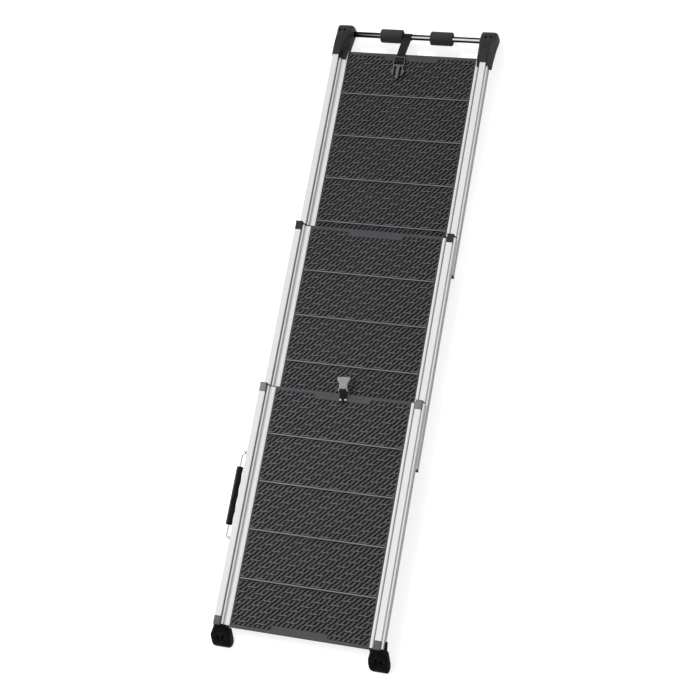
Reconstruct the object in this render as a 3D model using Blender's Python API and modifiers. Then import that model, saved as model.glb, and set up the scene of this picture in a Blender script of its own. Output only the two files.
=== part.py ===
"""Telescoping three section dog ramp, built as separate solids in metres, +Z up out of the tread.

+X is the right hand side seen from the feet, +Y runs up the ramp to the handlebar.
Each lower section lies over the next upper one. All six side rails are the same extrusion:
a T headed bar on top and a lipped channel below that wraps the bar of the section beneath it.
"""
import math

import bmesh
import bpy
from mathutils import Matrix, Vector

MM = 0.001

# frame: ramp coordinates are measured from the first seam of the bottom tread, then moved here
FRAME_X = 10.865 * MM
FRAME_Y = -336.25 * MM
FRAME_Z = 103.0 * MM

# sections
PANEL_PITCH = 130.0 * MM
PANELS = 5
TREAD_LEN = PANEL_PITCH * PANELS
STEP_DOWN = 30.75 * MM
BOTTOM_TOP_Y = 130.0 * MM
MIDDLE_TOP_Y = 604.0 * MM
TOP_TOP_Y = 1152.0 * MM
GAP = 0.3 * MM
SMOOTH_ANGLE = math.radians(32.0)

# rail extrusion, right hand side, measured from the centre plane and the tread crest
BAR_MID = 214.8 * MM
BAR_W = 16.8 * MM
BAR_IN = BAR_MID - BAR_W / 2.0
BAR_OUT = BAR_MID + BAR_W / 2.0
BAR_TOP = 31.5 * MM
HEAD_T = 4.0 * MM
NECK_CUT = 2.2 * MM
UNDERCUT = 1.5 * MM
NECK_LOW = 13.5 * MM
NOTCH_Z = 14.2 * MM
SHOULDER_Z = 11.2 * MM
SKIRT_LAP = 3.0 * MM
SKIRT_OUT = BAR_OUT + SKIRT_LAP
SKIRT_LOW = -15.0 * MM
SLIDE_CLEAR = 0.5 * MM
COVE_R = 11.4 * MM
COVE_LAND = 2.5 * MM
COVE_START = BAR_IN - COVE_LAND - COVE_R
LEDGE_W = 3.9 * MM
LEDGE_IN = COVE_START - LEDGE_W
WEB_IN = BAR_IN - 3.0 * MM
SLOT_TOP = -3.0 * MM
SLOT_LOW = -8.7 * MM
SLOT_END = WEB_IN - 4.4 * MM
SHELF_IN = LEDGE_IN - 10.6 * MM
SHELF_LOW = -11.0 * MM
CORE_WALL = 2.2 * MM
CORE_LOW = 4.2 * MM

# end pieces
PLATE_T = 2.5 * MM
PLATE_LIP = 1.4 * MM
PLUG_LEN = 22.5 * MM
STOP_T = 4.0 * MM
FOOT_GAP = 4.6 * MM

# tread
TREAD_HALF = LEDGE_IN - GAP
FIELD_DEPTH = 1.2 * MM
FIELD_HALF = TREAD_HALF - 3.8 * MM
RIB_W = 4.0 * MM
LIP_W = 9.0 * MM
TAB_HALF = 76.0 * MM
TAB_DEPTH = 21.0 * MM
POCKET_DEPTH = 4.0 * MM
POCKET_WALL = 5.0 * MM

# handlebar end
BAR_AXIS_Y = 1217.0 * MM
BAR_AXIS_Z = -81.0 * MM
TUBE_R = 8.0 * MM
TUBE_WALL = 1.5 * MM
CAP_IN = BAR_IN - 19.4 * MM
CAP_FRONT_Y = 1127.0 * MM
CAP_SKIN = 2.5 * MM
RECESS_MID = BAR_MID - 0.3 * MM
RECESS_PITCH = 14.0 * MM
RECESS_W = 5.2 * MM
RECESS_L = 10.5 * MM
RECESS_FLOOR = 24.0 * MM
BORE_DEPTH = 24.0 * MM
SLEEVE_R = 19.5 * MM
SLEEVE_LEN = 64.5 * MM
SLEEVE_IN = 41.2 * MM
SLEEVE_CHAMFER = 3.2 * MM

# strap and buckle
STRAP_X = -27.0 * MM
STRAP_W = 25.0 * MM
STRAP_LEAD = 0.07
WEBBING_T = 1.6 * MM
PLUG_W = 33.0 * MM
PLUG_T = 6.4 * MM
PLUG_TOP_Y = 1142.0 * MM
PLUG_TIP_Y = 1074.0 * MM
PLUG_FRAME = 27.0 * MM
CROSSBAR_Y = 1128.0 * MM
SOCKET_X = 3.0 * MM
SOCKET_TILT = math.radians(6.0)
SOCKET_LOW_Y = 134.5 * MM
SOCKET_LEN = 39.0 * MM
SOCKET_MOUTH_W = 35.0 * MM
SOCKET_NECK_W = 23.0 * MM
SOCKET_T = 10.0 * MM
SOCKET_Z = 2.1 * MM
SOCKET_WALL = 1.5 * MM
MOUTH_START = 30.0 * MM
THROAT_START = 9.0 * MM
WINDOW_START = 10.5 * MM
WINDOW_END = 21.0 * MM
EYE_HALF = 10.2 * MM
EYE_START = 2.8 * MM
EYE_LEN = 4.0 * MM
RIVET_Y = 113.0 * MM
RIVET_PITCH = 14.0 * MM
RIVET_HEAD_R = 3.6 * MM
RIVET_SHANK_R = 1.6 * MM

# feet
FOOT_MID = BAR_MID - 1.2 * MM
FOOT_LOW_Z = -56.0 * MM
COLLAR_IN = LEDGE_IN + 0.9 * MM
COLLAR_T = 3.6 * MM
WING_T = 4.0 * MM

# carry handle on the left rail of the bottom section
HANDLE_TOP_Y = -57.0 * MM
HANDLE_LOW_Y = -293.0 * MM
BRACKET_T = 2.0 * MM
BRACKET_H = 18.0 * MM
BRACKET_MID_Z = -2.5 * MM
EAR_OUT = 15.5 * MM
PIVOT_OUT = 10.0 * MM
PIVOT_R = 2.5 * MM
BAIL_ARM = 25.0 * MM
BAIL_T = 3.0 * MM
BAIL_DROP = math.radians(52.0)
GRIP_LEN = 158.0 * MM
GRIP_R = 7.4 * MM
SCREW_HEAD_R = 3.2 * MM


def clear_scene():
    """Remove every object that the file opened with."""
    for obj in list(bpy.data.objects):
        bpy.data.objects.remove(obj, do_unlink=True)


def collection(name):
    """Return a new collection linked to the scene."""
    col = bpy.data.collections.new(name)
    bpy.context.scene.collection.children.link(col)
    return col


clear_scene()
PARTS = collection("folding_dog_ramp")
CUTTERS = collection("cutters")
SHIFT = Vector((FRAME_X, FRAME_Y, FRAME_Z))


def material(name, colour, metallic, roughness):
    """Return a Principled material."""
    mat = bpy.data.materials.new(name)
    mat.use_nodes = True
    bsdf = mat.node_tree.nodes["Principled BSDF"]
    bsdf.inputs["Base Color"].default_value = (*colour, 1.0)
    bsdf.inputs["Metallic"].default_value = metallic
    bsdf.inputs["Roughness"].default_value = roughness
    return mat


FINISH = {
    "rail": ((0.80, 0.80, 0.79), 1.0, 0.38),
    "tread": ((0.045, 0.043, 0.048), 0.0, 0.62),
    "cap": ((0.035, 0.034, 0.037), 0.0, 0.50),
    "bar_cap": ((0.075, 0.075, 0.080), 0.0, 0.55),
    "foot": ((0.012, 0.011, 0.013), 0.0, 0.70),
    "tube": ((0.020, 0.020, 0.022), 0.9, 0.15),
    "sleeve": ((0.055, 0.054, 0.058), 0.0, 0.75),
    "webbing": ((0.014, 0.012, 0.016), 0.0, 0.90),
    "plug": ((0.060, 0.060, 0.064), 0.0, 0.35),
    "socket": ((0.160, 0.158, 0.162), 0.0, 0.45),
    "rivet": ((0.86, 0.86, 0.86), 1.0, 0.12),
    "bracket": ((0.78, 0.78, 0.77), 1.0, 0.30),
    "grip": ((0.018, 0.016, 0.018), 0.0, 0.60),
}


def finish(obj, kind):
    """Give an object its own copy of a named finish."""
    colour, metallic, roughness = FINISH[kind]
    obj.data.materials.clear()
    obj.data.materials.append(material(obj.name + "_mat", colour, metallic, roughness))
    return obj


def tidy_mesh(mesh):
    """Weld the caps of a converted curve and face its normals outward."""
    bm = bmesh.new()
    bm.from_mesh(mesh)
    bmesh.ops.remove_doubles(bm, verts=bm.verts, dist=0.000001)
    bmesh.ops.recalc_face_normals(bm, faces=bm.faces)
    bm.to_mesh(mesh)
    bm.free()


# each plane maps a profile point (u, v) and a depth w to ramp coordinates
PLANES = {
    "xz": Matrix(((1, 0, 0, 0), (0, 0, 1, 0), (0, 1, 0, 0), (0, 0, 0, 1))),
    "yz": Matrix(((0, 0, 1, 0), (1, 0, 0, 0), (0, 1, 0, 0), (0, 0, 0, 1))),
    "xy": Matrix(((1, 0, 0, 0), (0, 1, 0, 0), (0, 0, 1, 0), (0, 0, 0, 1))),
}


def prism(name, loops, plane, low, high, cutter=False):
    """Extrude closed outlines (the first outer, the others holes) from low to high."""
    curve = bpy.data.curves.new(name, "CURVE")
    curve.dimensions = "2D"
    curve.fill_mode = "BOTH"
    curve.extrude = (high - low) / 2.0
    for loop in loops:
        spline = curve.splines.new("POLY")
        spline.points.add(len(loop) - 1)
        for point, (u, v) in zip(spline.points, loop):
            point.co = (u, v, 0.0, 1.0)
        spline.use_cyclic_u = True
    source = bpy.data.objects.new(name + "_curve", curve)
    bpy.context.scene.collection.objects.link(source)
    graph = bpy.context.evaluated_depsgraph_get()
    mesh = bpy.data.meshes.new_from_object(source.evaluated_get(graph))
    bpy.data.objects.remove(source, do_unlink=True)
    place = PLANES[plane]
    middle = (low + high) / 2.0
    mesh.transform(Matrix.Translation((0.0, 0.0, middle)))
    mesh.transform(place)
    tidy_mesh(mesh)
    return register(name, mesh, cutter)


def register(name, mesh, cutter=False, origin=None):
    """Put a mesh into the scene as a part or as a cutter, with its origin at its own middle."""
    mesh.name = name
    if not cutter:
        mesh.shade_smooth()
        mesh.set_sharp_from_angle(angle=SMOOTH_ANGLE)
    if origin is None:
        low = Vector([min(v.co[i] for v in mesh.vertices) for i in range(3)])
        high = Vector([max(v.co[i] for v in mesh.vertices) for i in range(3)])
        origin = (low + high) / 2.0
    mesh.transform(Matrix.Translation(-Vector(origin)))
    obj = bpy.data.objects.new(name, mesh)
    obj.location = Vector(origin) + SHIFT
    if cutter:
        CUTTERS.objects.link(obj)
        obj.hide_render = True
        obj.display_type = "WIRE"
    else:
        PARTS.objects.link(obj)
    return obj


def box(name, low, high, cutter=False):
    """Make a block between two corners given in ramp coordinates."""
    low, high = Vector(low), Vector(high)
    size = Vector([abs(b - a) for a, b in zip(low, high)])
    bm = bmesh.new()
    bmesh.ops.create_cube(bm, size=1.0)
    bmesh.ops.scale(bm, vec=size, verts=bm.verts)
    bmesh.ops.translate(bm, vec=(low + high) / 2.0, verts=bm.verts)
    mesh = bpy.data.meshes.new(name)
    bm.to_mesh(mesh)
    bm.free()
    return register(name, mesh, cutter)


def lathe(name, profile, axis, centre, segments=32, cutter=False):
    """Turn a closed profile of (radius, along) points about an axis through centre."""
    mesh = bpy.data.meshes.new(name)
    count = len(profile)
    verts = [(r, 0.0, a) for r, a in profile]
    edges = [(i, (i + 1) % count) for i in range(count)]
    mesh.from_pydata(verts, edges, [])
    turned = bpy.data.objects.new(name + "_turned", mesh)
    bpy.context.scene.collection.objects.link(turned)
    screw = turned.modifiers.new("turn", "SCREW")
    screw.axis = "Z"
    screw.steps = segments
    screw.render_steps = segments
    screw.use_merge_vertices = True
    screw.merge_threshold = 0.000005
    graph = bpy.context.evaluated_depsgraph_get()
    result = bpy.data.meshes.new_from_object(turned.evaluated_get(graph))
    bpy.data.objects.remove(turned, do_unlink=True)
    turns = {
        "x": Matrix(((0, 0, 1, 0), (0, 1, 0, 0), (-1, 0, 0, 0), (0, 0, 0, 1))),
        "y": Matrix(((1, 0, 0, 0), (0, 0, 1, 0), (0, -1, 0, 0), (0, 0, 0, 1))),
        "z": Matrix.Identity(4),
    }
    result.transform(turns[axis])
    result.transform(Matrix.Translation(centre))
    tidy_mesh(result)
    return register(name, result, cutter)


def loft(name, stations, side, cutter=False):
    """Skin closed (x, z) outlines of equal count that stand at rising y."""
    bm = bmesh.new()
    rings = []
    for y, line in stations:
        rings.append([bm.verts.new((side * x, y, z)) for x, z in line])
    for near, far in zip(rings, rings[1:]):
        count = len(near)
        for i in range(count):
            j = (i + 1) % count
            bm.faces.new((near[i], near[j], far[j], far[i]))
    bm.faces.new(rings[0])
    bm.faces.new(rings[-1])
    bmesh.ops.triangulate(bm, faces=bm.faces)
    bmesh.ops.recalc_face_normals(bm, faces=bm.faces)
    mesh = bpy.data.meshes.new(name)
    bm.to_mesh(mesh)
    bm.free()
    return register(name, mesh, cutter)


def boolean(obj, tool, operation="DIFFERENCE"):
    """Add an exact boolean to an object."""
    mod = obj.modifiers.new(tool.name, "BOOLEAN")
    mod.operation = operation
    mod.solver = "EXACT"
    mod.object = tool
    return mod


def bevel(obj, width, segments=1, angle=35.0):
    """Round or chamfer the sharp edges of an object."""
    mod = obj.modifiers.new("edge", "BEVEL")
    mod.width = width
    mod.segments = segments
    mod.limit_method = "ANGLE"
    mod.angle_limit = math.radians(angle)
    mod.harden_normals = False
    return mod


def arc(cx, cy, radius, start, end, count):
    """Return points on an arc given in degrees."""
    out = []
    for i in range(count + 1):
        t = math.radians(start + (end - start) * i / count)
        out.append((cx + radius * math.cos(t), cy + radius * math.sin(t)))
    return out


def side_of(loop, side):
    """Mirror an outline about the centre plane for the left side."""
    if side > 0:
        return list(loop)
    return [(-u, v) for u, v in reversed(loop)]


def lifted(loop, dz):
    """Move an outline in height."""
    return [(u, v + dz) for u, v in loop]


def grown(loop, amount):
    """Offset a counter clockwise outline outward with mitred corners."""
    out = []
    count = len(loop)
    for i in range(count):
        p0 = Vector(loop[i - 1])
        p1 = Vector(loop[i])
        p2 = Vector(loop[(i + 1) % count])
        d1 = (p1 - p0).normalized()
        d2 = (p2 - p1).normalized()
        n1 = Vector((d1.y, -d1.x))
        n2 = Vector((d2.y, -d2.x))
        bisector = (n1 + n2).normalized()
        reach = amount / max(0.35, bisector.dot(n1))
        out.append(tuple(p1 + bisector * reach))
    return out


def area(loop):
    """Signed area of an outline."""
    total = 0.0
    for i, (x0, y0) in enumerate(loop):
        x1, y1 = loop[(i + 1) % len(loop)]
        total += x0 * y1 - x1 * y0
    return total / 2.0


def ccw(loop):
    """Return the outline running counter clockwise."""
    return list(loop) if area(loop) > 0 else list(reversed(loop))


def upper_outline():
    """Outer line of the rail from the ledge over the bar to the shoulder of the skirt."""
    neck_in = BAR_IN + NECK_CUT
    neck_out = BAR_OUT - NECK_CUT
    head_low = BAR_TOP - HEAD_T
    cove = arc(COVE_START, COVE_R, COVE_R, -90.0, 0.0, 6)
    return [(LEDGE_IN, 0.0)] + cove[:-1] + [
        (COVE_START + COVE_R, SHOULDER_Z - 0.6 * MM),
        (COVE_START + COVE_R + 0.5 * MM, SHOULDER_Z),
        (BAR_IN, SHOULDER_Z + 0.6 * MM),
        (neck_in, NECK_LOW),
        (neck_in, head_low - UNDERCUT),
        (BAR_IN, head_low),
        (BAR_IN, BAR_TOP - 0.5 * MM),
        (BAR_IN + 0.5 * MM, BAR_TOP),
        (BAR_OUT - 0.5 * MM, BAR_TOP),
        (BAR_OUT, BAR_TOP - 0.5 * MM),
        (BAR_OUT, head_low),
        (neck_out, head_low - UNDERCUT),
        (neck_out, NECK_LOW),
        (BAR_OUT, SHOULDER_Z + 0.8 * MM),
        (SKIRT_OUT - 1.0 * MM, SHOULDER_Z),
        (SKIRT_OUT, SHOULDER_Z - 1.2 * MM),
    ]


def head_outline():
    """T headed upper part of the bar above the notch, for the caps that carry it on."""
    neck_in = BAR_IN + NECK_CUT
    neck_out = BAR_OUT - NECK_CUT
    head_low = BAR_TOP - HEAD_T
    low = NOTCH_Z + GAP
    return [
        (neck_in, low), (neck_out, low), (neck_out, head_low - UNDERCUT), (BAR_OUT, head_low),
        (BAR_OUT, BAR_TOP - 0.5 * MM), (BAR_OUT - 0.5 * MM, BAR_TOP),
        (BAR_IN + 0.5 * MM, BAR_TOP), (BAR_IN, BAR_TOP - 0.5 * MM),
        (BAR_IN, head_low), (neck_in, head_low - UNDERCUT),
    ]


def block_outline():
    """Plain block as wide as the bar, for the caps that no channel slides over."""
    low, c = NOTCH_Z + GAP, 0.8 * MM
    return [
        (BAR_IN, low), (BAR_OUT, low), (BAR_OUT, BAR_TOP - c), (BAR_OUT - c, BAR_TOP),
        (BAR_IN + c, BAR_TOP), (BAR_IN, BAR_TOP - c),
    ]


def rail_outline():
    """Whole closed rail section with its lower channel, counter clockwise."""
    head_low = BAR_TOP - HEAD_T - STEP_DOWN
    roof = BAR_TOP - STEP_DOWN + SLIDE_CLEAR
    lip_top = head_low - SLIDE_CLEAR
    neck_out = BAR_OUT - NECK_CUT + SLIDE_CLEAR
    neck_in = BAR_IN + NECK_CUT - SLIDE_CLEAR
    lower = [
        (SKIRT_OUT, SKIRT_LOW),
        (neck_out, SKIRT_LOW),
        (neck_out, lip_top - UNDERCUT),
        (BAR_OUT + SLIDE_CLEAR, lip_top),
        (BAR_OUT + SLIDE_CLEAR, roof),
        (BAR_IN - SLIDE_CLEAR, roof),
        (BAR_IN - SLIDE_CLEAR, lip_top),
        (neck_in, lip_top - UNDERCUT),
        (neck_in, SKIRT_LOW),
        (WEB_IN, SKIRT_LOW),
        (WEB_IN, SHELF_LOW),
        (SHELF_IN, SHELF_LOW),
        (SHELF_IN, SLOT_LOW),
        (SLOT_END, SLOT_LOW),
        (SLOT_END, SLOT_TOP),
        (LEDGE_IN, SLOT_TOP),
    ]
    return upper_outline() + lower


def core_outline():
    """Hollow of the bar."""
    x0 = BAR_IN + NECK_CUT + CORE_WALL
    x1 = BAR_OUT - NECK_CUT - CORE_WALL
    z1 = BAR_TOP - 3.0 * MM
    return [(x0, CORE_LOW), (x1, CORE_LOW), (x1, z1), (x0, z1)]


SECTIONS = {
    "bottom": (BOTTOM_TOP_Y, 0.0),
    "middle": (MIDDLE_TOP_Y, -STEP_DOWN),
    "top": (TOP_TOP_Y, -2.0 * STEP_DOWN),
}
SIDES = {"left": -1, "right": 1}


def rail_span(section):
    """Lower and upper end of a section's rails."""
    top_y, _ = SECTIONS[section]
    low_y = top_y - TREAD_LEN
    if section == "bottom":
        return low_y + FOOT_GAP, top_y - PLATE_T - GAP
    if section == "middle":
        return low_y + STOP_T + GAP, top_y - PLATE_T - GAP
    return low_y + STOP_T + GAP, top_y


def notch(name, side, y0, y1, dz):
    """Cutter that takes the bar head off a rail end."""
    x0, x1 = BAR_IN - 2.0 * MM, BAR_OUT + 2.0 * MM
    return box(name, (side * x0, y0, NOTCH_Z + dz), (side * x1, y1, BAR_TOP + 2.0 * MM + dz), True)


def build_rail(section, side_name):
    """One extruded side rail with notched ends where caps stand in for the bar head."""
    side = SIDES[side_name]
    _, dz = SECTIONS[section]
    y0, y1 = rail_span(section)
    name = f"{section}_rail_{side_name}"
    outer = lifted(side_of(rail_outline(), side), dz)
    core = lifted(side_of(core_outline(), side), dz)
    rail = prism(name, [outer, core], "xz", y0, y1)
    if section != "top":
        boolean(rail, notch(name + "_notch_up", side, y1 - PLUG_LEN, y1 + 1.0 * MM, dz))
    if section == "bottom":
        boolean(rail, notch(name + "_notch_low", side, y0 - 1.0 * MM, y0 + PLUG_LEN - FOOT_GAP, dz))
    return finish(rail, "rail")


def build_tread(section):
    """Moulded tread of five panels with cross ribs, smooth lips and centre tabs."""
    top_y, dz = SECTIONS[section]
    low_y = top_y - TREAD_LEN
    under = SLOT_LOW + GAP
    tongue = SLOT_END - GAP
    line = [
        (-tongue, under), (tongue, under), (tongue, SLOT_TOP - GAP),
        (TREAD_HALF, SLOT_TOP - GAP), (TREAD_HALF, 0.0),
        (-TREAD_HALF, 0.0), (-TREAD_HALF, SLOT_TOP - GAP), (-tongue, SLOT_TOP - GAP),
    ]
    name = f"{section}_tread"
    tread = prism(name, [lifted(line, dz)], "xz", low_y, top_y)
    fields = []
    for i in range(PANELS):
        y0 = low_y + i * PANEL_PITCH + RIB_W / 2.0
        y1 = low_y + (i + 1) * PANEL_PITCH - RIB_W / 2.0
        loop = [(-FIELD_HALF, y0), (FIELD_HALF, y0), (FIELD_HALF, y1), (-FIELD_HALF, y1)]
        if i == 0:
            a = low_y + LIP_W
            b = low_y + TAB_DEPTH
            loop = [(-FIELD_HALF, a), (-TAB_HALF, a), (-TAB_HALF, b), (TAB_HALF, b),
                    (TAB_HALF, a), (FIELD_HALF, a), (FIELD_HALF, y1), (-FIELD_HALF, y1)]
        if i == PANELS - 1:
            a = top_y - LIP_W
            b = top_y - TAB_DEPTH
            loop = [(-FIELD_HALF, y0), (FIELD_HALF, y0), (FIELD_HALF, a), (TAB_HALF, a),
                    (TAB_HALF, b), (-TAB_HALF, b), (-TAB_HALF, a), (-FIELD_HALF, a)]
        fields.append(loop)
    cut = join_prisms(name + "_fields", fields, "xy", -FIELD_DEPTH + dz, 1.0 * MM + dz)
    boolean(tread, cut)
    pockets = []
    width = (2.0 * SHELF_IN - 4.0 * POCKET_WALL) / 3.0
    for i in range(PANELS):
        y0 = low_y + i * PANEL_PITCH + POCKET_WALL
        y1 = low_y + (i + 1) * PANEL_PITCH - POCKET_WALL
        if i == 0:
            y0 += 6.0 * MM
        if i == PANELS - 1:
            y1 -= TAB_DEPTH
        for j in range(3):
            x0 = -SHELF_IN + POCKET_WALL + j * (width + POCKET_WALL)
            pockets.append([(x0, y0), (x0 + width, y0), (x0 + width, y1), (x0, y1)])
    cut = join_prisms(name + "_pockets", pockets, "xy", under - 1.0 * MM + dz,
                      under + POCKET_DEPTH + dz)
    boolean(tread, cut)
    return finish(tread, "tread")


def join_prisms(name, loops, plane, low, high, cutter=True):
    """Extrude several separate outlines into one cutter."""
    return prism(name, loops, plane, low, high, cutter)


def plate_outline():
    """End plate line: the rail line over the bar with a small lip, open below for the next bar."""
    roof = BAR_TOP - STEP_DOWN + SLIDE_CLEAR + 0.1 * MM
    x0 = LEDGE_IN + 0.6 * MM
    cove = arc(COVE_START - 1.0 * MM, COVE_R + PLATE_LIP, COVE_R - 0.6 * MM, -90.0, 0.0, 5)
    return [
        (x0, roof), (SKIRT_OUT + PLATE_LIP, roof),
        (SKIRT_OUT + PLATE_LIP, SHOULDER_Z - 2.0 * MM),
        (SKIRT_OUT + PLATE_LIP - 1.4 * MM, SHOULDER_Z + PLATE_LIP),
        (BAR_OUT + PLATE_LIP, SHOULDER_Z + PLATE_LIP + 1.2 * MM),
        (BAR_OUT + PLATE_LIP, BAR_TOP - 0.6 * MM),
        (BAR_OUT + PLATE_LIP - 1.2 * MM, BAR_TOP + 0.6 * MM),
        (BAR_IN - PLATE_LIP + 1.2 * MM, BAR_TOP + 0.6 * MM),
        (BAR_IN - PLATE_LIP, BAR_TOP - 0.6 * MM),
        (BAR_IN - PLATE_LIP, SHOULDER_Z + PLATE_LIP + 1.2 * MM),
    ] + [(u, v) for u, v in reversed(cove) if v > roof + 0.2 * MM] + [(x0, roof + 1.2 * MM)]


def build_end_cap(section, side_name):
    """Moulded cap at the upper end of a rail: a plate over the section and a plug in the notch."""
    side = SIDES[side_name]
    top_y, dz = SECTIONS[section]
    name = f"{section}_rail_cap_{side_name}"
    plate = prism(name, [lifted(side_of(ccw(plate_outline()), side), dz)], "xz",
                  top_y - PLATE_T, top_y)
    y_plug = top_y - PLATE_T - PLUG_LEN
    shape = block_outline() if section == "bottom" else head_outline()
    plug = prism(name + "_plug", [lifted(side_of(shape, side), dz)], "xz",
                 y_plug + GAP, top_y - PLATE_T / 2.0, True)
    boolean(plate, plug, "UNION")
    return finish(plate, "bar_cap")


def build_lower_cap(side_name):
    """Square cap that ends the bar above each foot."""
    side = SIDES[side_name]
    y0, _ = rail_span("bottom")
    name = f"bottom_bar_cap_{side_name}"
    cap = prism(name, [side_of(block_outline(), side)], "xz", y0 - FOOT_GAP,
                y0 + PLUG_LEN - FOOT_GAP - GAP)
    return finish(cap, "bar_cap")


def build_stop(section, side_name):
    """Stop plate closing the channel at the lower end of a sliding rail."""
    side = SIDES[side_name]
    top_y, dz = SECTIONS[section]
    low_y = top_y - TREAD_LEN
    line = [
        (WEB_IN - 0.6 * MM, SKIRT_LOW + 0.4 * MM),
        (SKIRT_OUT + 0.6 * MM, SKIRT_LOW + 0.4 * MM),
        (SKIRT_OUT + 0.6 * MM, SHOULDER_Z - 2.2 * MM),
        (SKIRT_OUT - 0.9 * MM, SHOULDER_Z - 0.6 * MM),
        (WEB_IN + 0.6 * MM, SHOULDER_Z - 0.6 * MM),
        (WEB_IN - 0.6 * MM, SHOULDER_Z - 2.2 * MM),
    ]
    name = f"{section}_rail_stop_{side_name}"
    plate = prism(name, [lifted(side_of(line, side), dz)], "xz", low_y, low_y + STOP_T)
    head_low = BAR_TOP - HEAD_T - STEP_DOWN
    spigot = box(name + "_spigot",
                 (side * (BAR_IN + NECK_CUT + GAP), low_y + STOP_T / 2.0, SKIRT_LOW + 1.5 * MM + dz),
                 (side * (BAR_OUT - NECK_CUT - GAP), low_y + STOP_T + 14.0 * MM, head_low + dz), True)
    boolean(plate, spigot, "UNION")
    return finish(plate, "cap")


def foot_station(in_top, out_top, z_top, in_low, out_low, z_low):
    """Outline of the foot at one place along the ramp, as offsets from the foot's middle."""
    m, c = FOOT_MID, 1.4 * MM
    z_mid = (z_top + z_low) / 2.0
    return [
        (m + out_low - c, z_low), (m + out_low, z_low + c), (m + max(out_top, out_low), z_mid),
        (m + out_top, z_top - c), (m + out_top - c, z_top), (m - in_top + c, z_top),
        (m - in_top, z_top - c), (m - max(in_top, in_low), z_mid),
        (m - in_low, z_low + c), (m - in_low + c, z_low),
    ]


def build_foot(side_name):
    """Faceted rubber foot that turns down from the rail end to the ground."""
    side = SIDES[side_name]
    y_rail, _ = rail_span("bottom")
    face = y_rail - GAP
    tread_end = BOTTOM_TOP_Y - TREAD_LEN - GAP
    name = f"foot_{side_name}"
    low = FOOT_LOW_Z
    shape = [
        (-52.8, (19.5, 20.5, 11.0, 18.5, 19.5, 4.0)),
        (-50.8, (23.5, 23.5, 15.0, 22.0, 22.0, 1.0)),
        (-46.3, (26.5, 25.5, 21.0, 25.5, 24.0, 0.0)),
        (-36.3, (28.2, 26.8, 32.0, 27.5, 25.0, 0.0)),
        (-27.8, (27.6, 26.8, 42.0, 28.2, 25.8, 9.0)),
        (-9.3, (14.9, 12.7, 64.0, 25.0, 22.5, 25.0)),
        (0.0, (14.9, 12.7, 64.5, 24.0, 20.5, 34.0)),
    ]
    stations = []
    for dy, (in_top, out_top, top, in_low, out_low, bottom) in shape:
        stations.append((face + dy * MM, foot_station(
            in_top * MM, out_top * MM, low + top * MM, in_low * MM, out_low * MM, low + bottom * MM)))
    body = loft(name, stations, side)
    corner = box(name + "_corner", (side * (SHELF_IN - 20.0 * MM), tread_end, low),
                 (side * (SLOT_END + GAP), face + 5.0 * MM, NOTCH_Z), True)
    boolean(body, corner)
    collar = box(name + "_collar", (side * COLLAR_IN, tread_end - COLLAR_T, SLOT_LOW),
                 (side * SKIRT_OUT, tread_end, -0.4 * MM), True)
    boolean(body, collar, "UNION")
    cheek = [
        (face - 6.0 * MM, SKIRT_LOW - 9.0 * MM), (face + 4.0 * MM, SKIRT_LOW - 6.0 * MM),
        (face + 22.0 * MM, SKIRT_LOW + 3.0 * MM), (face + 22.0 * MM, SKIRT_LOW + 7.0 * MM),
        (face - 6.0 * MM, SKIRT_LOW + 8.0 * MM),
    ]
    a, b = sorted((side * (SKIRT_OUT + GAP), side * (SKIRT_OUT + GAP + WING_T)))
    wing = prism(name + "_wing", [ccw(cheek)], "yz", a, b, True)
    boolean(body, wing, "UNION")
    core = core_outline()
    cx0, cx1 = core[0][0] + GAP, core[1][0] - GAP
    spigot = box(name + "_spigot", (side * cx0, face - 6.0 * MM, CORE_LOW + GAP),
                 (side * cx1, face + 18.0 * MM, SHOULDER_Z - 3.2 * MM), True)
    boolean(body, spigot, "UNION")
    for k, dx in enumerate((-RECESS_PITCH / 2.0, RECESS_PITCH / 2.0)):
        x = side * FOOT_MID + dx
        slot = box(f"{name}_recess_{k}", (x - RECESS_W / 2.0, face - 37.0 * MM, low + 27.5 * MM),
                   (x + RECESS_W / 2.0, face - 37.0 * MM + RECESS_L, 12.0 * MM), True)
        boolean(body, slot)
    return finish(body, "foot")


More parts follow.
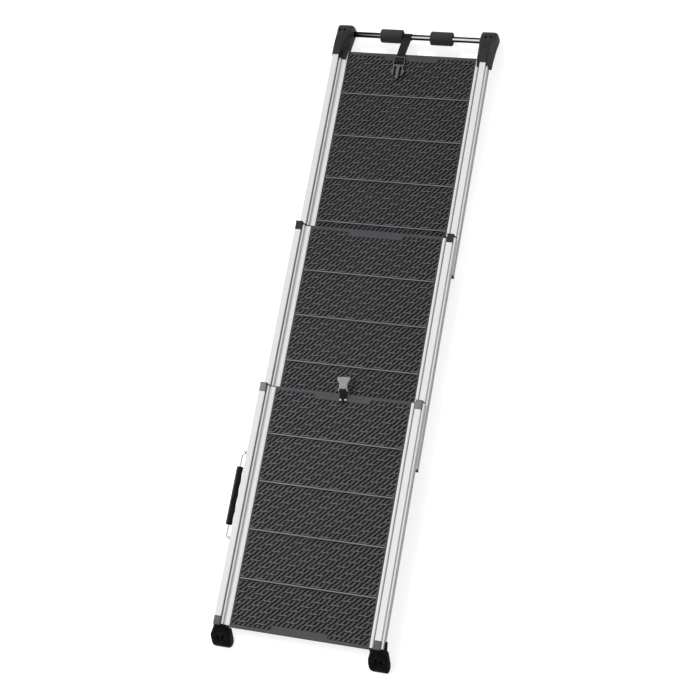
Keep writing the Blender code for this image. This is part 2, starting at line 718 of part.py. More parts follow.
def bracket_stations():
    """Outlines of the right hand end bracket from its front to its rounded far end.

    Each row holds its y from the bar axis, then x from the bar middle and z from the section's
    crest for: outer low, outer side, outer top, top outside, top inside, inner top, shoulder,
    lobe, inner low and underside.
    """
    _, dz = SECTIONS["top"]
    rows = [
        (-90.0, [(17.7, -17.0), (14.7, 13.5), (11.0, 31.0), (8.7, 33.7), (-9.3, 33.7), (-10.9, 31.5),
                 (-12.6, 9.5), (-23.0, 3.1), (-24.6, -13.5), (-12.8, -17.0)]),
        (-65.0, [(18.2, -19.5), (15.2, 11.5), (11.2, 30.8), (8.7, 33.7), (-10.3, 33.7), (-12.2, 31.5),
                 (-15.8, 9.5), (-25.3, 2.5), (-25.8, -16.5), (-13.8, -19.5)]),
        (-49.0, [(18.7, -23.5), (15.7, 8.5), (11.4, 29.6), (8.7, 32.8), (-14.0, 32.4), (-16.2, 29.8),
                 (-20.5, 9.5), (-26.3, -1.5), (-26.8, -21.5), (-14.8, -23.5)]),
        (-27.0, [(19.2, -29.5), (17.0, 5.5), (12.7, 22.5), (9.7, 25.2), (-18.8, 24.4),
                (-22.2, 21.4), (-24.6, 8.5), (-27.0, -4.5), (-27.6, -27.5), (-15.8, -29.5)]),
        (-5.0, [(20.7, -36.5), (19.2, 1.5), (14.7, 12.5), (11.7, 15.0), (-20.6, 14.4),
               (-23.7, 11.8), (-25.8, 3.0), (-27.5, -6.5), (-27.8, -34.5), (-16.8, -36.5)]),
        (11.0, [(21.7, -41.5), (21.2, -4.5), (17.2, 3.5), (14.2, 5.5), (-21.2, 5.0),
               (-24.2, 2.8), (-26.3, -3.0), (-27.6, -10.0), (-27.8, -38.5), (-16.8, -41.5)]),
        (19.0, [(20.7, -39.5), (20.2, -10.5), (16.7, -3.0), (13.7, -1.0), (-20.3, -1.4),
               (-23.2, -3.4), (-25.2, -8.5), (-26.8, -14.5), (-26.8, -37.0), (-16.8, -39.5)]),
        (24.0, [(16.2, -34.5), (16.2, -18.5), (14.2, -13.5), (11.7, -12.0), (-17.2, -12.2),
               (-19.6, -13.8), (-21.4, -17.5), (-22.8, -22.5), (-22.8, -32.5), (-15.8, -34.5)]),
    ]
    return [(BAR_AXIS_Y + y * MM, [(BAR_MID + u * MM, v * MM + dz) for u, v in line])
            for y, line in rows]


def build_top_cap(side_name):
    """Tapered end bracket that carries the handlebar below the end of the top section."""
    side = SIDES[side_name]
    _, dz = SECTIONS["top"]
    _, y_rail = rail_span("top")
    name = f"handlebar_bracket_{side_name}"
    body = loft(name, bracket_stations(), side)
    pocket = prism(name + "_pocket",
                   [lifted(side_of(ccw(grown(simple_rail_outline(), GAP)), side), dz)], "xz",
                   CAP_FRONT_Y - 30.0 * MM, y_rail + GAP, True)
    boolean(body, pocket)
    c0, c1 = sorted((side * (CAP_IN - 5.0 * MM), side * (CAP_IN + BORE_DEPTH + GAP)))
    ring = arc(BAR_AXIS_Y, BAR_AXIS_Z, TUBE_R + GAP, 0.0, 348.75, 31)
    boolean(body, prism(name + "_bore", [ring], "yz", c0, c1, True))
    floor = BAR_AXIS_Z + RECESS_FLOOR
    for k, dx in enumerate((-RECESS_PITCH / 2.0, RECESS_PITCH / 2.0)):
        x = side * RECESS_MID + dx
        slot = box(f"{name}_recess_{k}", (x - RECESS_W / 2.0, BAR_AXIS_Y - 9.0 * MM, floor),
                   (x + RECESS_W / 2.0, BAR_AXIS_Y - 9.0 * MM + RECESS_L, floor + 40.0 * MM), True)
        boolean(body, slot)
    return finish(body, "cap")


def simple_rail_outline():
    """Rail line without its channel and neck, used for pockets that take a rail end."""
    return ccw([
        (WEB_IN, SKIRT_LOW - 0.2 * MM), (SKIRT_OUT, SKIRT_LOW - 0.2 * MM),
        (SKIRT_OUT, SHOULDER_Z - 0.8 * MM), (SKIRT_OUT - 1.0 * MM, SHOULDER_Z + 0.3 * MM),
        (BAR_OUT, SHOULDER_Z + 1.0 * MM), (BAR_OUT, BAR_TOP), (BAR_IN, BAR_TOP),
        (BAR_IN, SHOULDER_Z + 1.0 * MM), (COVE_START + COVE_R, SHOULDER_Z + 0.2 * MM),
        (COVE_START + COVE_R * 0.71, COVE_R * 0.30), (COVE_START, 0.0),
        (SHELF_IN, 0.0), (SHELF_IN, SHELF_LOW), (WEB_IN, SHELF_LOW),
    ])


def build_handlebar():
    """Round tube across the top end."""
    half = CAP_IN + BORE_DEPTH
    profile = [(TUBE_R - TUBE_WALL, -half), (TUBE_R - TUBE_WALL, half), (TUBE_R, half), (TUBE_R, -half)]
    return finish(lathe("handlebar", profile, "x", (0.0, BAR_AXIS_Y, BAR_AXIS_Z)), "tube")


def build_sleeve(side_name):
    """Chamfered rubber sleeve on the handlebar."""
    side = SIDES[side_name]
    c = SLEEVE_CHAMFER
    half = SLEEVE_LEN / 2.0
    profile = [
        (TUBE_R + GAP, -half), (SLEEVE_R - c, -half), (SLEEVE_R, -half + c),
        (SLEEVE_R, half - c), (SLEEVE_R - c, half), (TUBE_R + GAP, half),
    ]
    centre = (side * (SLEEVE_IN + half), BAR_AXIS_Y, BAR_AXIS_Z)
    return finish(lathe(f"sleeve_{side_name}", profile, "x", centre), "sleeve")


def strap_points():
    """Centre points of the strap: the bar axis and the cross bar of the plug."""
    _, dz = SECTIONS["top"]
    return (BAR_AXIS_Y, BAR_AXIS_Z), (CROSSBAR_Y, dz + 4.3 * MM)


def build_strap():
    """Webbing loop round the handlebar that runs down to the plug's cross bar."""
    (by, bz), (cy, cz) = strap_points()
    inner = TUBE_R + 0.4 * MM
    outer = inner + WEBBING_T
    small_in = 1.7 * MM + GAP
    small_out = small_in + WEBBING_T
    _, dz = SECTIONS["top"]
    edge_y = TOP_TOP_Y + 1.0 * MM
    top = WEBBING_T * 2.0
    base = dz + 0.5 * MM
    loop = arc(by, bz, outer, 128.0, -205.0, 26)
    lower_tail = [(edge_y + 6.0 * MM, base - 0.7 * MM), (edge_y - 4.0 * MM, base)]
    near = arc(cy, cz, small_out, -80.0, -300.0, 10)
    upper_tail = [(cy + 6.5 * MM, base + top), (edge_y - 4.0 * MM, base + top),
                  (edge_y + 6.0 * MM, base + top - 0.7 * MM)]
    line = loop + lower_tail + near + upper_tail
    holes = [arc(by, bz, inner, 0.0, 345.0, 23), arc(cy, cz, small_in, 0.0, 330.0, 11)]
    x0 = STRAP_X - STRAP_W / 2.0
    strap = prism("strap", [line] + holes, "yz", x0, x0 + STRAP_W)
    slant(strap, by - outer)
    return finish(strap, "webbing")


def slant(obj, start_y):
    """Lead the strap sideways as it runs from the bar down to the buckle."""
    start = start_y + FRAME_Y - obj.location.y
    for vert in obj.data.vertices:
        away = start - vert.co.y
        if away > 0.0:
            vert.co.x -= away * STRAP_LEAD


def build_plug():
    """Side release plug: frame with a cross bar, centre tongue and two barbed arms."""
    _, dz = SECTIONS["top"]
    x = STRAP_X - (BAR_AXIS_Y - TUBE_R - 2.0 * MM - CROSSBAR_Y - 6.0 * MM) * STRAP_LEAD
    half = PLUG_W / 2.0
    y_top, y_tip = PLUG_TOP_Y, PLUG_TIP_Y
    y_base = PLUG_TOP_Y - PLUG_FRAME
    right = [
        (0.0, y_top), (half - 2.0 * MM, y_top), (half, y_top - 2.5 * MM), (half, y_base + 1.5 * MM),
        (half - 1.4 * MM, y_base - 2.5 * MM), (half - 1.6 * MM, y_base - 10.0 * MM),
        (half + 2.8 * MM, y_base - 15.5 * MM), (half + 2.6 * MM, y_base - 21.0 * MM),
        (half - 3.2 * MM, y_base - 32.0 * MM), (half - 5.6 * MM, y_base - 32.0 * MM),
        (half - 5.0 * MM, y_base - 21.0 * MM), (half - 4.6 * MM, y_base - 6.0 * MM),
        (half - 6.6 * MM, y_base - 2.9 * MM), (4.6 * MM, y_base - 2.9 * MM),
        (4.2 * MM, y_tip + 2.0 * MM), (2.8 * MM, y_tip),
    ]
    line = [(x + u, v) for u, v in right] + [(x - u, v) for u, v in reversed(right[1:])]
    slot = half - 2.4 * MM
    window = [(x - slot, y_base + 2.4 * MM), (x + slot, y_base + 2.4 * MM),
              (x + slot, y_top - 2.8 * MM), (x - slot, y_top - 2.8 * MM)]
    z0 = dz + 0.4 * MM
    plug = prism("buckle_plug", [ccw(line), window], "xy", z0, z0 + PLUG_T)
    lift = box("buckle_plug_relief", (x - slot, y_top - 5.0 * MM, z0 - 1.0 * MM),
               (x + slot, y_top + 1.0 * MM, z0 + 3.8 * MM), True)
    boolean(plug, lift)
    ring = arc(CROSSBAR_Y, dz + 4.3 * MM, 1.7 * MM, 0.0, 330.0, 11)
    bar = prism("buckle_plug_crossbar", [ring], "yz", x - slot - 1.5 * MM, x + slot + 1.5 * MM, True)
    boolean(plug, bar, "UNION")
    return finish(plug, "plug")


def turn_about(obj, pivot, rotation):
    """Rotate a placed object about a point of the shared frame."""
    obj.location = pivot + rotation.to_3x3() @ (obj.location - pivot)
    obj.rotation_euler = rotation.to_euler()
    return obj


def tilt_socket(obj):
    """Turn the socket pieces about the middle of the rivets."""
    pivot = Vector((SOCKET_X, RIVET_Y, 0.0)) + SHIFT
    return turn_about(obj, pivot, Matrix.Rotation(SOCKET_TILT, 4, "Z"))


def build_socket():
    """Side release socket, mouth up the ramp, with side windows for the plug's arms."""
    y0 = SOCKET_LOW_Y
    y1 = SOCKET_LOW_Y + SOCKET_LEN
    mouth = SOCKET_MOUTH_W / 2.0
    neck = SOCKET_NECK_W / 2.0
    right = [
        (neck + 2.0 * MM, y0), (neck + 2.5 * MM, y0 + 3.0 * MM), (neck, y0 + 7.0 * MM),
        (neck - 0.6 * MM, y0 + 15.0 * MM), (neck, y0 + 22.0 * MM), (neck + 2.5 * MM, y0 + 26.0 * MM),
        (mouth - 0.5 * MM, y0 + 30.0 * MM), (mouth, y1),
    ]
    line = [(SOCKET_X + u, v) for u, v in right] + [(SOCKET_X - u, v) for u, v in reversed(right)]
    socket = prism("buckle_socket", [line], "xy", SOCKET_Z, SOCKET_Z + SOCKET_T)
    tilt_socket(socket)
    floor, roof = SOCKET_Z + SOCKET_WALL, SOCKET_Z + SOCKET_T - SOCKET_WALL
    inner = mouth - SOCKET_WALL
    hollow = box("socket_mouth", (SOCKET_X - inner, y0 + MOUTH_START, floor),
                 (SOCKET_X + inner, y1 + 1.0 * MM, roof), True)
    boolean(socket, tilt_socket(hollow))
    core = neck - SOCKET_WALL - 0.9 * MM
    throat = box("socket_throat", (SOCKET_X - core, y0 + THROAT_START, floor),
                 (SOCKET_X + core, y0 + MOUTH_START + 1.0 * MM, roof), True)
    boolean(socket, tilt_socket(throat))
    window = box("socket_window", (SOCKET_X - mouth, y0 + WINDOW_START, floor),
                 (SOCKET_X + mouth, y0 + WINDOW_END, roof), True)
    boolean(socket, tilt_socket(window))
    eye = box("socket_eye", (SOCKET_X - EYE_HALF, y0 + EYE_START, SOCKET_Z - 1.0 * MM),
              (SOCKET_X + EYE_HALF, y0 + EYE_START + EYE_LEN, SOCKET_Z + SOCKET_T + 1.0 * MM), True)
    boolean(socket, tilt_socket(eye))
    bevel(socket, 0.6 * MM, 1, 40.0)
    return finish(socket, "socket")


def build_socket_webbing():
    """Short webbing loop from the socket's eye down to the tread's centre tab."""
    y0 = SOCKET_LOW_Y
    bar_y = y0 + 1.4 * MM
    mid_z = SOCKET_Z + SOCKET_T / 2.0
    r_in = SOCKET_T / 2.0 + GAP
    wide = 1.4 * MM + GAP
    t = WEBBING_T
    flat_y = BOTTOM_TOP_Y - 2.0 * MM
    low_y = RIVET_Y - 7.5 * MM
    z0 = 0.2 * MM
    outer = [
        (low_y, z0), (bar_y + wide, z0), (bar_y + wide + t, z0 + 1.0 * MM),
        (bar_y + wide + t, mid_z + r_in + t - 1.0 * MM), (bar_y + wide, mid_z + r_in + t),
        (bar_y - wide, mid_z + r_in + t), (bar_y - wide - t, mid_z + r_in + t - 1.0 * MM),
        (flat_y - 2.0 * MM, z0 + 2.0 * t + 0.6 * MM), (flat_y - 7.0 * MM, z0 + 2.0 * t),
        (low_y, z0 + 2.0 * t),
    ]
    hole = [
        (bar_y - wide, mid_z - r_in), (bar_y + wide, mid_z - r_in),
        (bar_y + wide, mid_z + r_in), (bar_y - wide, mid_z + r_in),
    ]
    tab = prism("socket_webbing", [ccw(outer), hole], "yz", SOCKET_X - 9.7 * MM, SOCKET_X + 9.7 * MM)
    tilt_socket(tab)
    for k, dx in enumerate((-RIVET_PITCH / 2.0, RIVET_PITCH / 2.0)):
        hole = drill(f"webbing_hole_{k}", dx, -1.0 * MM, 8.0 * MM)
        boolean(tab, hole)
    return finish(tab, "webbing")


def drill(name, dx, z0, z1):
    """Cutter for one rivet hole."""
    ring = arc(SOCKET_X + dx, RIVET_Y, RIVET_SHANK_R + GAP, 0.0, 337.5, 15)
    return tilt_socket(prism(name, [ring], "xy", z0, z1, True))


def build_rivets():
    """The two domed rivets of the socket webbing."""
    under = SLOT_LOW + GAP
    top = 0.2 * MM + 2.0 * WEBBING_T + GAP
    shank, head = RIVET_SHANK_R, RIVET_HEAD_R
    profile = [
        (0.0, under - 1.6 * MM), (head * 0.8, under - 1.6 * MM), (head, under - 0.8 * MM),
        (head, under - GAP), (shank, under - GAP), (shank, top), (head, top),
        (head * 0.88, top + 1.3 * MM), (head * 0.45, top + 2.1 * MM), (0.0, top + 2.3 * MM),
    ]
    for side_name, side in SIDES.items():
        centre = (SOCKET_X + side * RIVET_PITCH / 2.0, RIVET_Y, 0.0)
        rivet = lathe(f"socket_rivet_{side_name}", profile, "z", centre, 20)
        finish(tilt_socket(rivet), "rivet")


def handle_axis():
    """Pivot line of the carry handle in ramp coordinates."""
    return -(SKIRT_OUT + GAP + PIVOT_OUT), BRACKET_MID_Z


def build_bracket():
    """Thin strip on the left rail with its ends turned out as ears for the bail."""
    x_in = -(SKIRT_OUT + GAP)
    x_out = x_in - EAR_OUT
    t = BRACKET_T
    line = [
        (x_in, HANDLE_LOW_Y), (x_in, HANDLE_TOP_Y), (x_out, HANDLE_TOP_Y),
        (x_out, HANDLE_TOP_Y - t), (x_in - t, HANDLE_TOP_Y - t), (x_in - t, HANDLE_LOW_Y + t),
        (x_out, HANDLE_LOW_Y + t), (x_out, HANDLE_LOW_Y),
    ]
    strip = prism("handle_bracket", [ccw(line)], "xy", BRACKET_MID_Z - BRACKET_H / 2.0,
                  BRACKET_MID_Z + BRACKET_H / 2.0)
    bevel(strip, 0.5 * MM, 1, 40.0)
    px, pz = handle_axis()
    for k, y in enumerate((HANDLE_TOP_Y, HANDLE_LOW_Y)):
        ring = arc(px, pz, PIVOT_R + GAP, 0.0, 337.5, 15)
        hole = prism(f"ear_hole_{k}", [ring], "xz", y - 4.0 * MM, y + 4.0 * MM, True)
        boolean(strip, hole)
    for k, y in enumerate((HANDLE_TOP_Y - 12.0 * MM, HANDLE_LOW_Y + 12.0 * MM)):
        ring = arc(y, BRACKET_MID_Z, 1.8 * MM, 0.0, 337.5, 15)
        hole = prism(f"strip_hole_{k}", [ring], "yz", x_in - 5.0 * MM, x_in + 2.0 * MM, True)
        boolean(strip, hole)
    return finish(strip, "bracket")


def tilt_bail(obj):
    """Turn a piece drawn level about the pivot down to the hanging angle."""
    px, pz = handle_axis()
    pivot = Vector((px, 0.0, pz)) + SHIFT
    return turn_about(obj, pivot, Matrix.Rotation(-BAIL_DROP, 4, "Y"))


def build_bail():
    """Bent wire bail: pins in the ears, two arms and the run through the grip."""
    px, pz = handle_axis()
    r = BAIL_T / 2.0
    hi = HANDLE_TOP_Y - BRACKET_T - 3.0 * MM
    lo = HANDLE_LOW_Y + BRACKET_T + 3.0 * MM
    reach = px - BAIL_ARM
    corner = 8.0 * MM
    path = [(px, HANDLE_TOP_Y + 1.2 * MM), (px, hi + 1.5 * MM), (px - 1.5 * MM, hi)]
    path += arc(reach + corner, hi - corner, corner, 90.0, 180.0, 4)
    path += arc(reach + corner, lo + corner, corner, 180.0, 270.0, 4)
    path += [(px - 1.5 * MM, lo), (px, lo - 1.5 * MM), (px, HANDLE_LOW_Y - 1.2 * MM)]
    curve = bpy.data.curves.new("carry_bail", "CURVE")
    curve.dimensions = "3D"
    curve.bevel_depth = r * 1.35
    curve.bevel_resolution = 2
    curve.use_fill_caps = True
    spline = curve.splines.new("POLY")
    spline.points.add(len(path) - 1)
    for point, (u, v) in zip(spline.points, path):
        point.co = (u, v, pz, 1.0)
    source = bpy.data.objects.new("carry_bail_curve", curve)
    bpy.context.scene.collection.objects.link(source)
    graph = bpy.context.evaluated_depsgraph_get()
    mesh = bpy.data.meshes.new_from_object(source.evaluated_get(graph))
    bpy.data.objects.remove(source, do_unlink=True)
    tidy_mesh(mesh)
    bail = register("carry_bail", mesh)
    tilt_bail(bail)
    return finish(bail, "bracket")


def build_grip():
    """Moulded grip with finger waves on its inner side."""
    px, pz = handle_axis()
    x = px - BAIL_ARM
    mid = (HANDLE_TOP_Y + HANDLE_LOW_Y) / 2.0
    half = GRIP_LEN / 2.0
    waves = 4
    inner = []
    count = 32
    for i in range(count + 1):
        y = mid - half + GRIP_LEN * i / count
        phase = 2.0 * math.pi * waves * i / count
        swell = 1.6 * MM * math.cos(phase)
        fade = 2.5 * MM if i in (0, count) else 0.0
        inner.append((x + GRIP_R - 0.8 * MM + swell - fade, y))
    outer = [(x - GRIP_R + 2.0 * MM, mid + half), (x - GRIP_R, mid + half - 5.0 * MM),
             (x - GRIP_R, mid - half + 5.0 * MM), (x - GRIP_R + 2.0 * MM, mid - half)]
    grip = prism("carry_grip", [ccw(inner + outer)], "xy", pz - GRIP_R + 0.4 * MM, pz + GRIP_R - 0.4 * MM)
    bevel(grip, 2.6 * MM, 2, 50.0)
    ring = arc(x, pz, BAIL_T / 2.0 * 1.35 + GAP, 0.0, 337.5, 15)
    bore = prism("grip_bore", [ring], "xz", mid - half - 5.0 * MM, mid + half + 5.0 * MM, True)
    tilt_bail(bore)
    tilt_bail(grip)
    boolean(grip, bore)
    return finish(grip, "grip")


def build_bracket_screws():
    """The two screws that hold the handle strip to the rail."""
    x_in = -(SKIRT_OUT + GAP)
    face = x_in - BRACKET_T - GAP
    for end, y in (("upper", HANDLE_TOP_Y - 12.0 * MM), ("lower", HANDLE_LOW_Y + 12.0 * MM)):
        profile = [
            (0.0, face - 1.8 * MM), (SCREW_HEAD_R * 0.6, face - 1.8 * MM), (SCREW_HEAD_R, face - 0.6 * MM),
            (SCREW_HEAD_R, face), (1.5 * MM, face), (1.5 * MM, x_in + 0.1 * MM), (0.0, x_in + 0.1 * MM),
        ]
        screw = lathe(f"handle_screw_{end}", profile, "x", (0.0, y, BRACKET_MID_Z), 20)
        finish(screw, "rivet")


for section_name in SECTIONS:
    for side_key in SIDES:
        build_rail(section_name, side_key)
    build_tread(section_name)

for side_key in SIDES:
    build_end_cap("bottom", side_key)
    build_end_cap("middle", side_key)
    build_lower_cap(side_key)
    build_stop("middle", side_key)
    build_stop("top", side_key)
    build_foot(side_key)
    build_top_cap(side_key)
    build_sleeve(side_key)

build_handlebar()
build_strap()
build_plug()
build_socket()
build_socket_webbing()
build_rivets()
build_bracket()
build_bail()
build_grip()
build_bracket_screws()

hole_tool_left = drill("tread_hole_a", -RIVET_PITCH / 2.0, -20.0 * MM, 8.0 * MM)
hole_tool_right = drill("tread_hole_b", RIVET_PITCH / 2.0, -20.0 * MM, 8.0 * MM)
for tool in (hole_tool_left, hole_tool_right):
    boolean(bpy.data.objects["bottom_tread"], tool)


def joint_empty(name, location, parent=None):
    """Empty that marks a moving body's joint."""
    empty = bpy.data.objects.new(name, None)
    empty.empty_display_size = 0.05
    PARTS.objects.link(empty)
    empty.location = Vector(location) + SHIFT
    if parent:
        hang(empty, parent)
    return empty


def hang(child, parent):
    """Parent one object to another and leave it where it is."""
    bpy.context.view_layer.update()
    child.parent = parent
    child.matrix_parent_inverse = parent.matrix_world.inverted()


middle_slide = joint_empty("middle_slide", (0.0, MIDDLE_TOP_Y, -STEP_DOWN))
top_slide = joint_empty("top_slide", (0.0, TOP_TOP_Y, -2.0 * STEP_DOWN), middle_slide)
strap_swing = joint_empty("strap_swing", (STRAP_X, BAR_AXIS_Y, BAR_AXIS_Z), top_slide)
axis_x, axis_z = handle_axis()
bail_swing = joint_empty("bail_swing", (axis_x, (HANDLE_TOP_Y + HANDLE_LOW_Y) / 2.0, axis_z))

RIDERS = {
    middle_slide: ["middle_"],
    top_slide: ["top_rail", "top_tread", "handlebar", "sleeve_"],
    strap_swing: ["strap", "buckle_plug"],
    bail_swing: ["carry_"],
}
bpy.context.view_layer.update()
for empty, prefixes in RIDERS.items():
    for piece in list(PARTS.objects):
        if piece.type == "MESH" and any(piece.name.startswith(prefix) for prefix in prefixes):
            hang(piece, empty)
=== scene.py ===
"""Looks of a three section telescoping dog ramp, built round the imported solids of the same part.

Sizes are in millimetres of the ramp's own coordinates: X from the centre plane, Y up the ramp
from the first seam of the bottom tread, Z out of that tread's crest. `place` turns them into the
part's frame in metres.
"""
import logging
import math
from contextlib import contextmanager
from dataclasses import dataclass
from enum import Enum
from typing import Callable, Iterator, Sequence

import bmesh
import bpy
from mathutils import Matrix, Vector


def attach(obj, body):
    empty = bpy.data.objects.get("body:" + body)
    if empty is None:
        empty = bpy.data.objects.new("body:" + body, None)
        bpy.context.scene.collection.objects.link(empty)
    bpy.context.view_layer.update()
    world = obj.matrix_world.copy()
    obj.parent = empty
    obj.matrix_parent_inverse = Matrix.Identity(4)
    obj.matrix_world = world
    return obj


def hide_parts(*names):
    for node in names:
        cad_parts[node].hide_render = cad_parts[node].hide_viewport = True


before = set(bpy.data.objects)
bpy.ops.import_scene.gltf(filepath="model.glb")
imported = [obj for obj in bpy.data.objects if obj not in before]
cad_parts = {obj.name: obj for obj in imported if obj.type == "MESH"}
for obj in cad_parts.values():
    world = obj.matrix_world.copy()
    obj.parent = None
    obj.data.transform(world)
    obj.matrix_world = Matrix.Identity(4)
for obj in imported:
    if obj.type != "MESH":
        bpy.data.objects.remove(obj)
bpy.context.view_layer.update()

log = logging.getLogger("dog_ramp")

MM = 0.001
ORIGIN = Vector((10.865, -336.25, 103.0)) * MM
STEP_DOWN = 30.75
PANEL_PITCH = 130.0
TREAD_LEN = 650.0
BAR_Y, BAR_Z = 1217.0, -81.0    # middle of the handlebar tube
BAR_R = 8.0                     # radius of the handlebar tube
WEBBING = 1.5                   # thickness of the webbing
WELD = 0.00001                  # points this close are merged, in metres
HAIR = 1e-6                     # how far a point may miss a plane, in metres

Point = tuple[float, float]
Test = Callable[[Vector, Vector], bool]
Obj = bpy.types.Object
Socket = bpy.types.NodeSocket
ops = bpy.ops.mesh


class Side(Enum):
    """Side of the ramp seen from the feet."""

    LEFT = -1
    RIGHT = 1

    @property
    def end(self) -> str:
        """Side as it stands in node names."""
        return self.name.lower()


class Section(Enum):
    """A sliding section: its name, the Y of its upper edge and how far its crest lies down."""

    BOTTOM = ("bottom", 130.0, 0.0)
    MIDDLE = ("middle", 604.0, STEP_DOWN)
    TOP = ("top", 1152.0, 2.0 * STEP_DOWN)

    def __init__(self, label: str, top_y: float, down: float) -> None:
        """Work out the tread's edges, the height of its crest and the body it rides on."""
        self.label = label
        self.top_y = top_y
        self.low_y = top_y - TREAD_LEN
        self.crest = -down
        self.body = f"{label}_section"


def place(x: float, y: float, z: float) -> Vector:
    """Return a point given in ramp millimetres in the part's frame."""
    return Vector((x, y, z)) * MM + ORIGIN


# modelling: operators on one active object at a time

def release() -> None:
    """Leave edit mode and deselect everything."""
    if bpy.context.object and bpy.context.object.mode != "OBJECT":
        bpy.ops.object.mode_set(mode="OBJECT")
    bpy.ops.object.select_all(action="DESELECT")


def activate(obj: Obj) -> None:
    """Make an object the only selected and active one."""
    release()
    obj.select_set(True)
    bpy.context.view_layer.objects.active = obj


@contextmanager
def editing(obj: Obj) -> Iterator[bmesh.types.BMesh]:
    """Work on an object in edit mode.

    Args:
        obj: Mesh object to edit.

    Returns:
        The edit mesh, valid until an operator changes it.
    """
    activate(obj)
    bpy.ops.object.mode_set(mode="EDIT")
    yield bmesh.from_edit_mesh(obj.data)
    bpy.ops.object.mode_set(mode="OBJECT")


def choose(obj: Obj, kind: str, test: Test) -> None:
    """Select the faces or edges of the edit mesh whose middle and direction pass a test.

    Args:
        obj: Mesh object in edit mode.
        kind: "FACE" or "EDGE".
        test: Takes the middle and the normal of a face or the direction of an edge.
    """
    ops.select_mode(type=kind)
    ops.select_all(action="DESELECT")
    mesh = bmesh.from_edit_mesh(obj.data)
    if kind == "FACE":
        items = [(face, face.calc_center_median(), face.normal) for face in mesh.faces]
    else:
        items = [(edge, (edge.verts[0].co + edge.verts[1].co) / 2.0,
                  (edge.verts[1].co - edge.verts[0].co).normalized()) for edge in mesh.edges]
    for item, middle, direction in items:
        if test(middle, direction):
            item.select_set(True)
    bmesh.update_edit_mesh(obj.data)


def face_out(obj: Obj, weld: float = 0.0) -> None:
    """Merge points closer than `weld` metres, if given, and turn all faces outward."""
    with editing(obj):
        ops.select_all(action="SELECT")
        if weld:
            ops.remove_doubles(threshold=weld)
        ops.normals_make_consistent(inside=False)


def block(name: str, low: Vector, high: Vector) -> Obj:
    """Add a cube stretched between two corners of the part's frame."""
    release()
    ops.primitive_cube_add(size=1.0, location=(low + high) / 2.0)
    obj = bpy.context.object
    obj.name = name
    obj.scale = [abs(b - a) for a, b in zip(low, high)]
    bpy.ops.object.transform_apply(location=True, rotation=True, scale=True)
    return obj


def extruded(name: str, line: Sequence[Vector], reach: Vector) -> Obj:
    """Bring a ring of points to an outline, fill it and extrude it.

    Args:
        name: Object name.
        line: Points of the closed outline in the part's frame.
        reach: Extrusion vector.

    Returns:
        A closed mesh object with outward faces.
    """
    release()
    ops.primitive_circle_add(vertices=len(line), radius=0.1, fill_type="NOTHING")
    obj = bpy.context.object
    obj.name = name
    with editing(obj) as mesh:
        mesh.verts.ensure_lookup_table()
        for vert, point in zip(mesh.verts, line):
            vert.co = point
        bmesh.update_edit_mesh(obj.data)
        ops.select_all(action="SELECT")
        ops.edge_face_add()
        ops.extrude_region_move(TRANSFORM_OT_translate={"value": reach})
        ops.select_all(action="SELECT")
        ops.normals_make_consistent(inside=False)
    return obj


def apply_modifiers(obj: Obj) -> None:
    """Apply all of an object's modifiers in order."""
    activate(obj)
    for modifier in list(obj.modifiers):
        bpy.ops.object.modifier_apply(modifier=modifier.name)


def rounded(obj: Obj, width: float, segments: int = 2, angle: float = 30.0) -> None:
    """Bevel an object's sharp edges with a modifier and apply it."""
    bevel = obj.modifiers.new("rounding", "BEVEL")
    bevel.width = width * MM
    bevel.segments = segments
    bevel.limit_method = "ANGLE"
    bevel.angle_limit = math.radians(angle)
    bevel.use_clamp_overlap = True
    bevel.miter_outer = "MITER_ARC"
    apply_modifiers(obj)


def join(name: str, pieces: Sequence[Obj]) -> Obj:
    """Join meshes into one object."""
    release()
    for piece in pieces:
        piece.select_set(True)
    bpy.context.view_layer.objects.active = pieces[0]
    bpy.ops.object.join()
    pieces[0].name = name
    return pieces[0]


def smooth(obj: Obj, angle: float = 35.0) -> None:
    """Shade an object smooth below an angle."""
    activate(obj)
    bpy.ops.object.shade_smooth_by_angle(angle=math.radians(angle))


def recast(node: str, width: float, segments: int) -> Obj:
    """Make a piece with rounded edges from a copy of a solid.

    Args:
        node: Node to copy; the piece is named after it.
        width: Edge radius in millimetres.
        segments: Steps in each rounded edge.

    Returns:
        The new piece, in place.
    """
    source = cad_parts[node]
    obj = source.copy()
    obj.data = source.data.copy()
    obj.parent = None
    for key in list(obj.keys()):
        del obj[key]
    obj.name = f"{node}_skin"
    bpy.context.scene.collection.objects.link(obj)
    if obj.data.has_custom_normals:
        activate(obj)
        ops.customdata_custom_splitnormals_clear()
    with editing(obj):
        ops.select_all(action="SELECT")
        ops.remove_doubles(threshold=WELD)
        ops.mark_sharp(clear=True)
        ops.dissolve_limited(angle_limit=math.radians(1.0))
        ops.normals_make_consistent(inside=False)
    rounded(obj, width, segments)
    smooth(obj, 40.0)
    return obj


# finishes

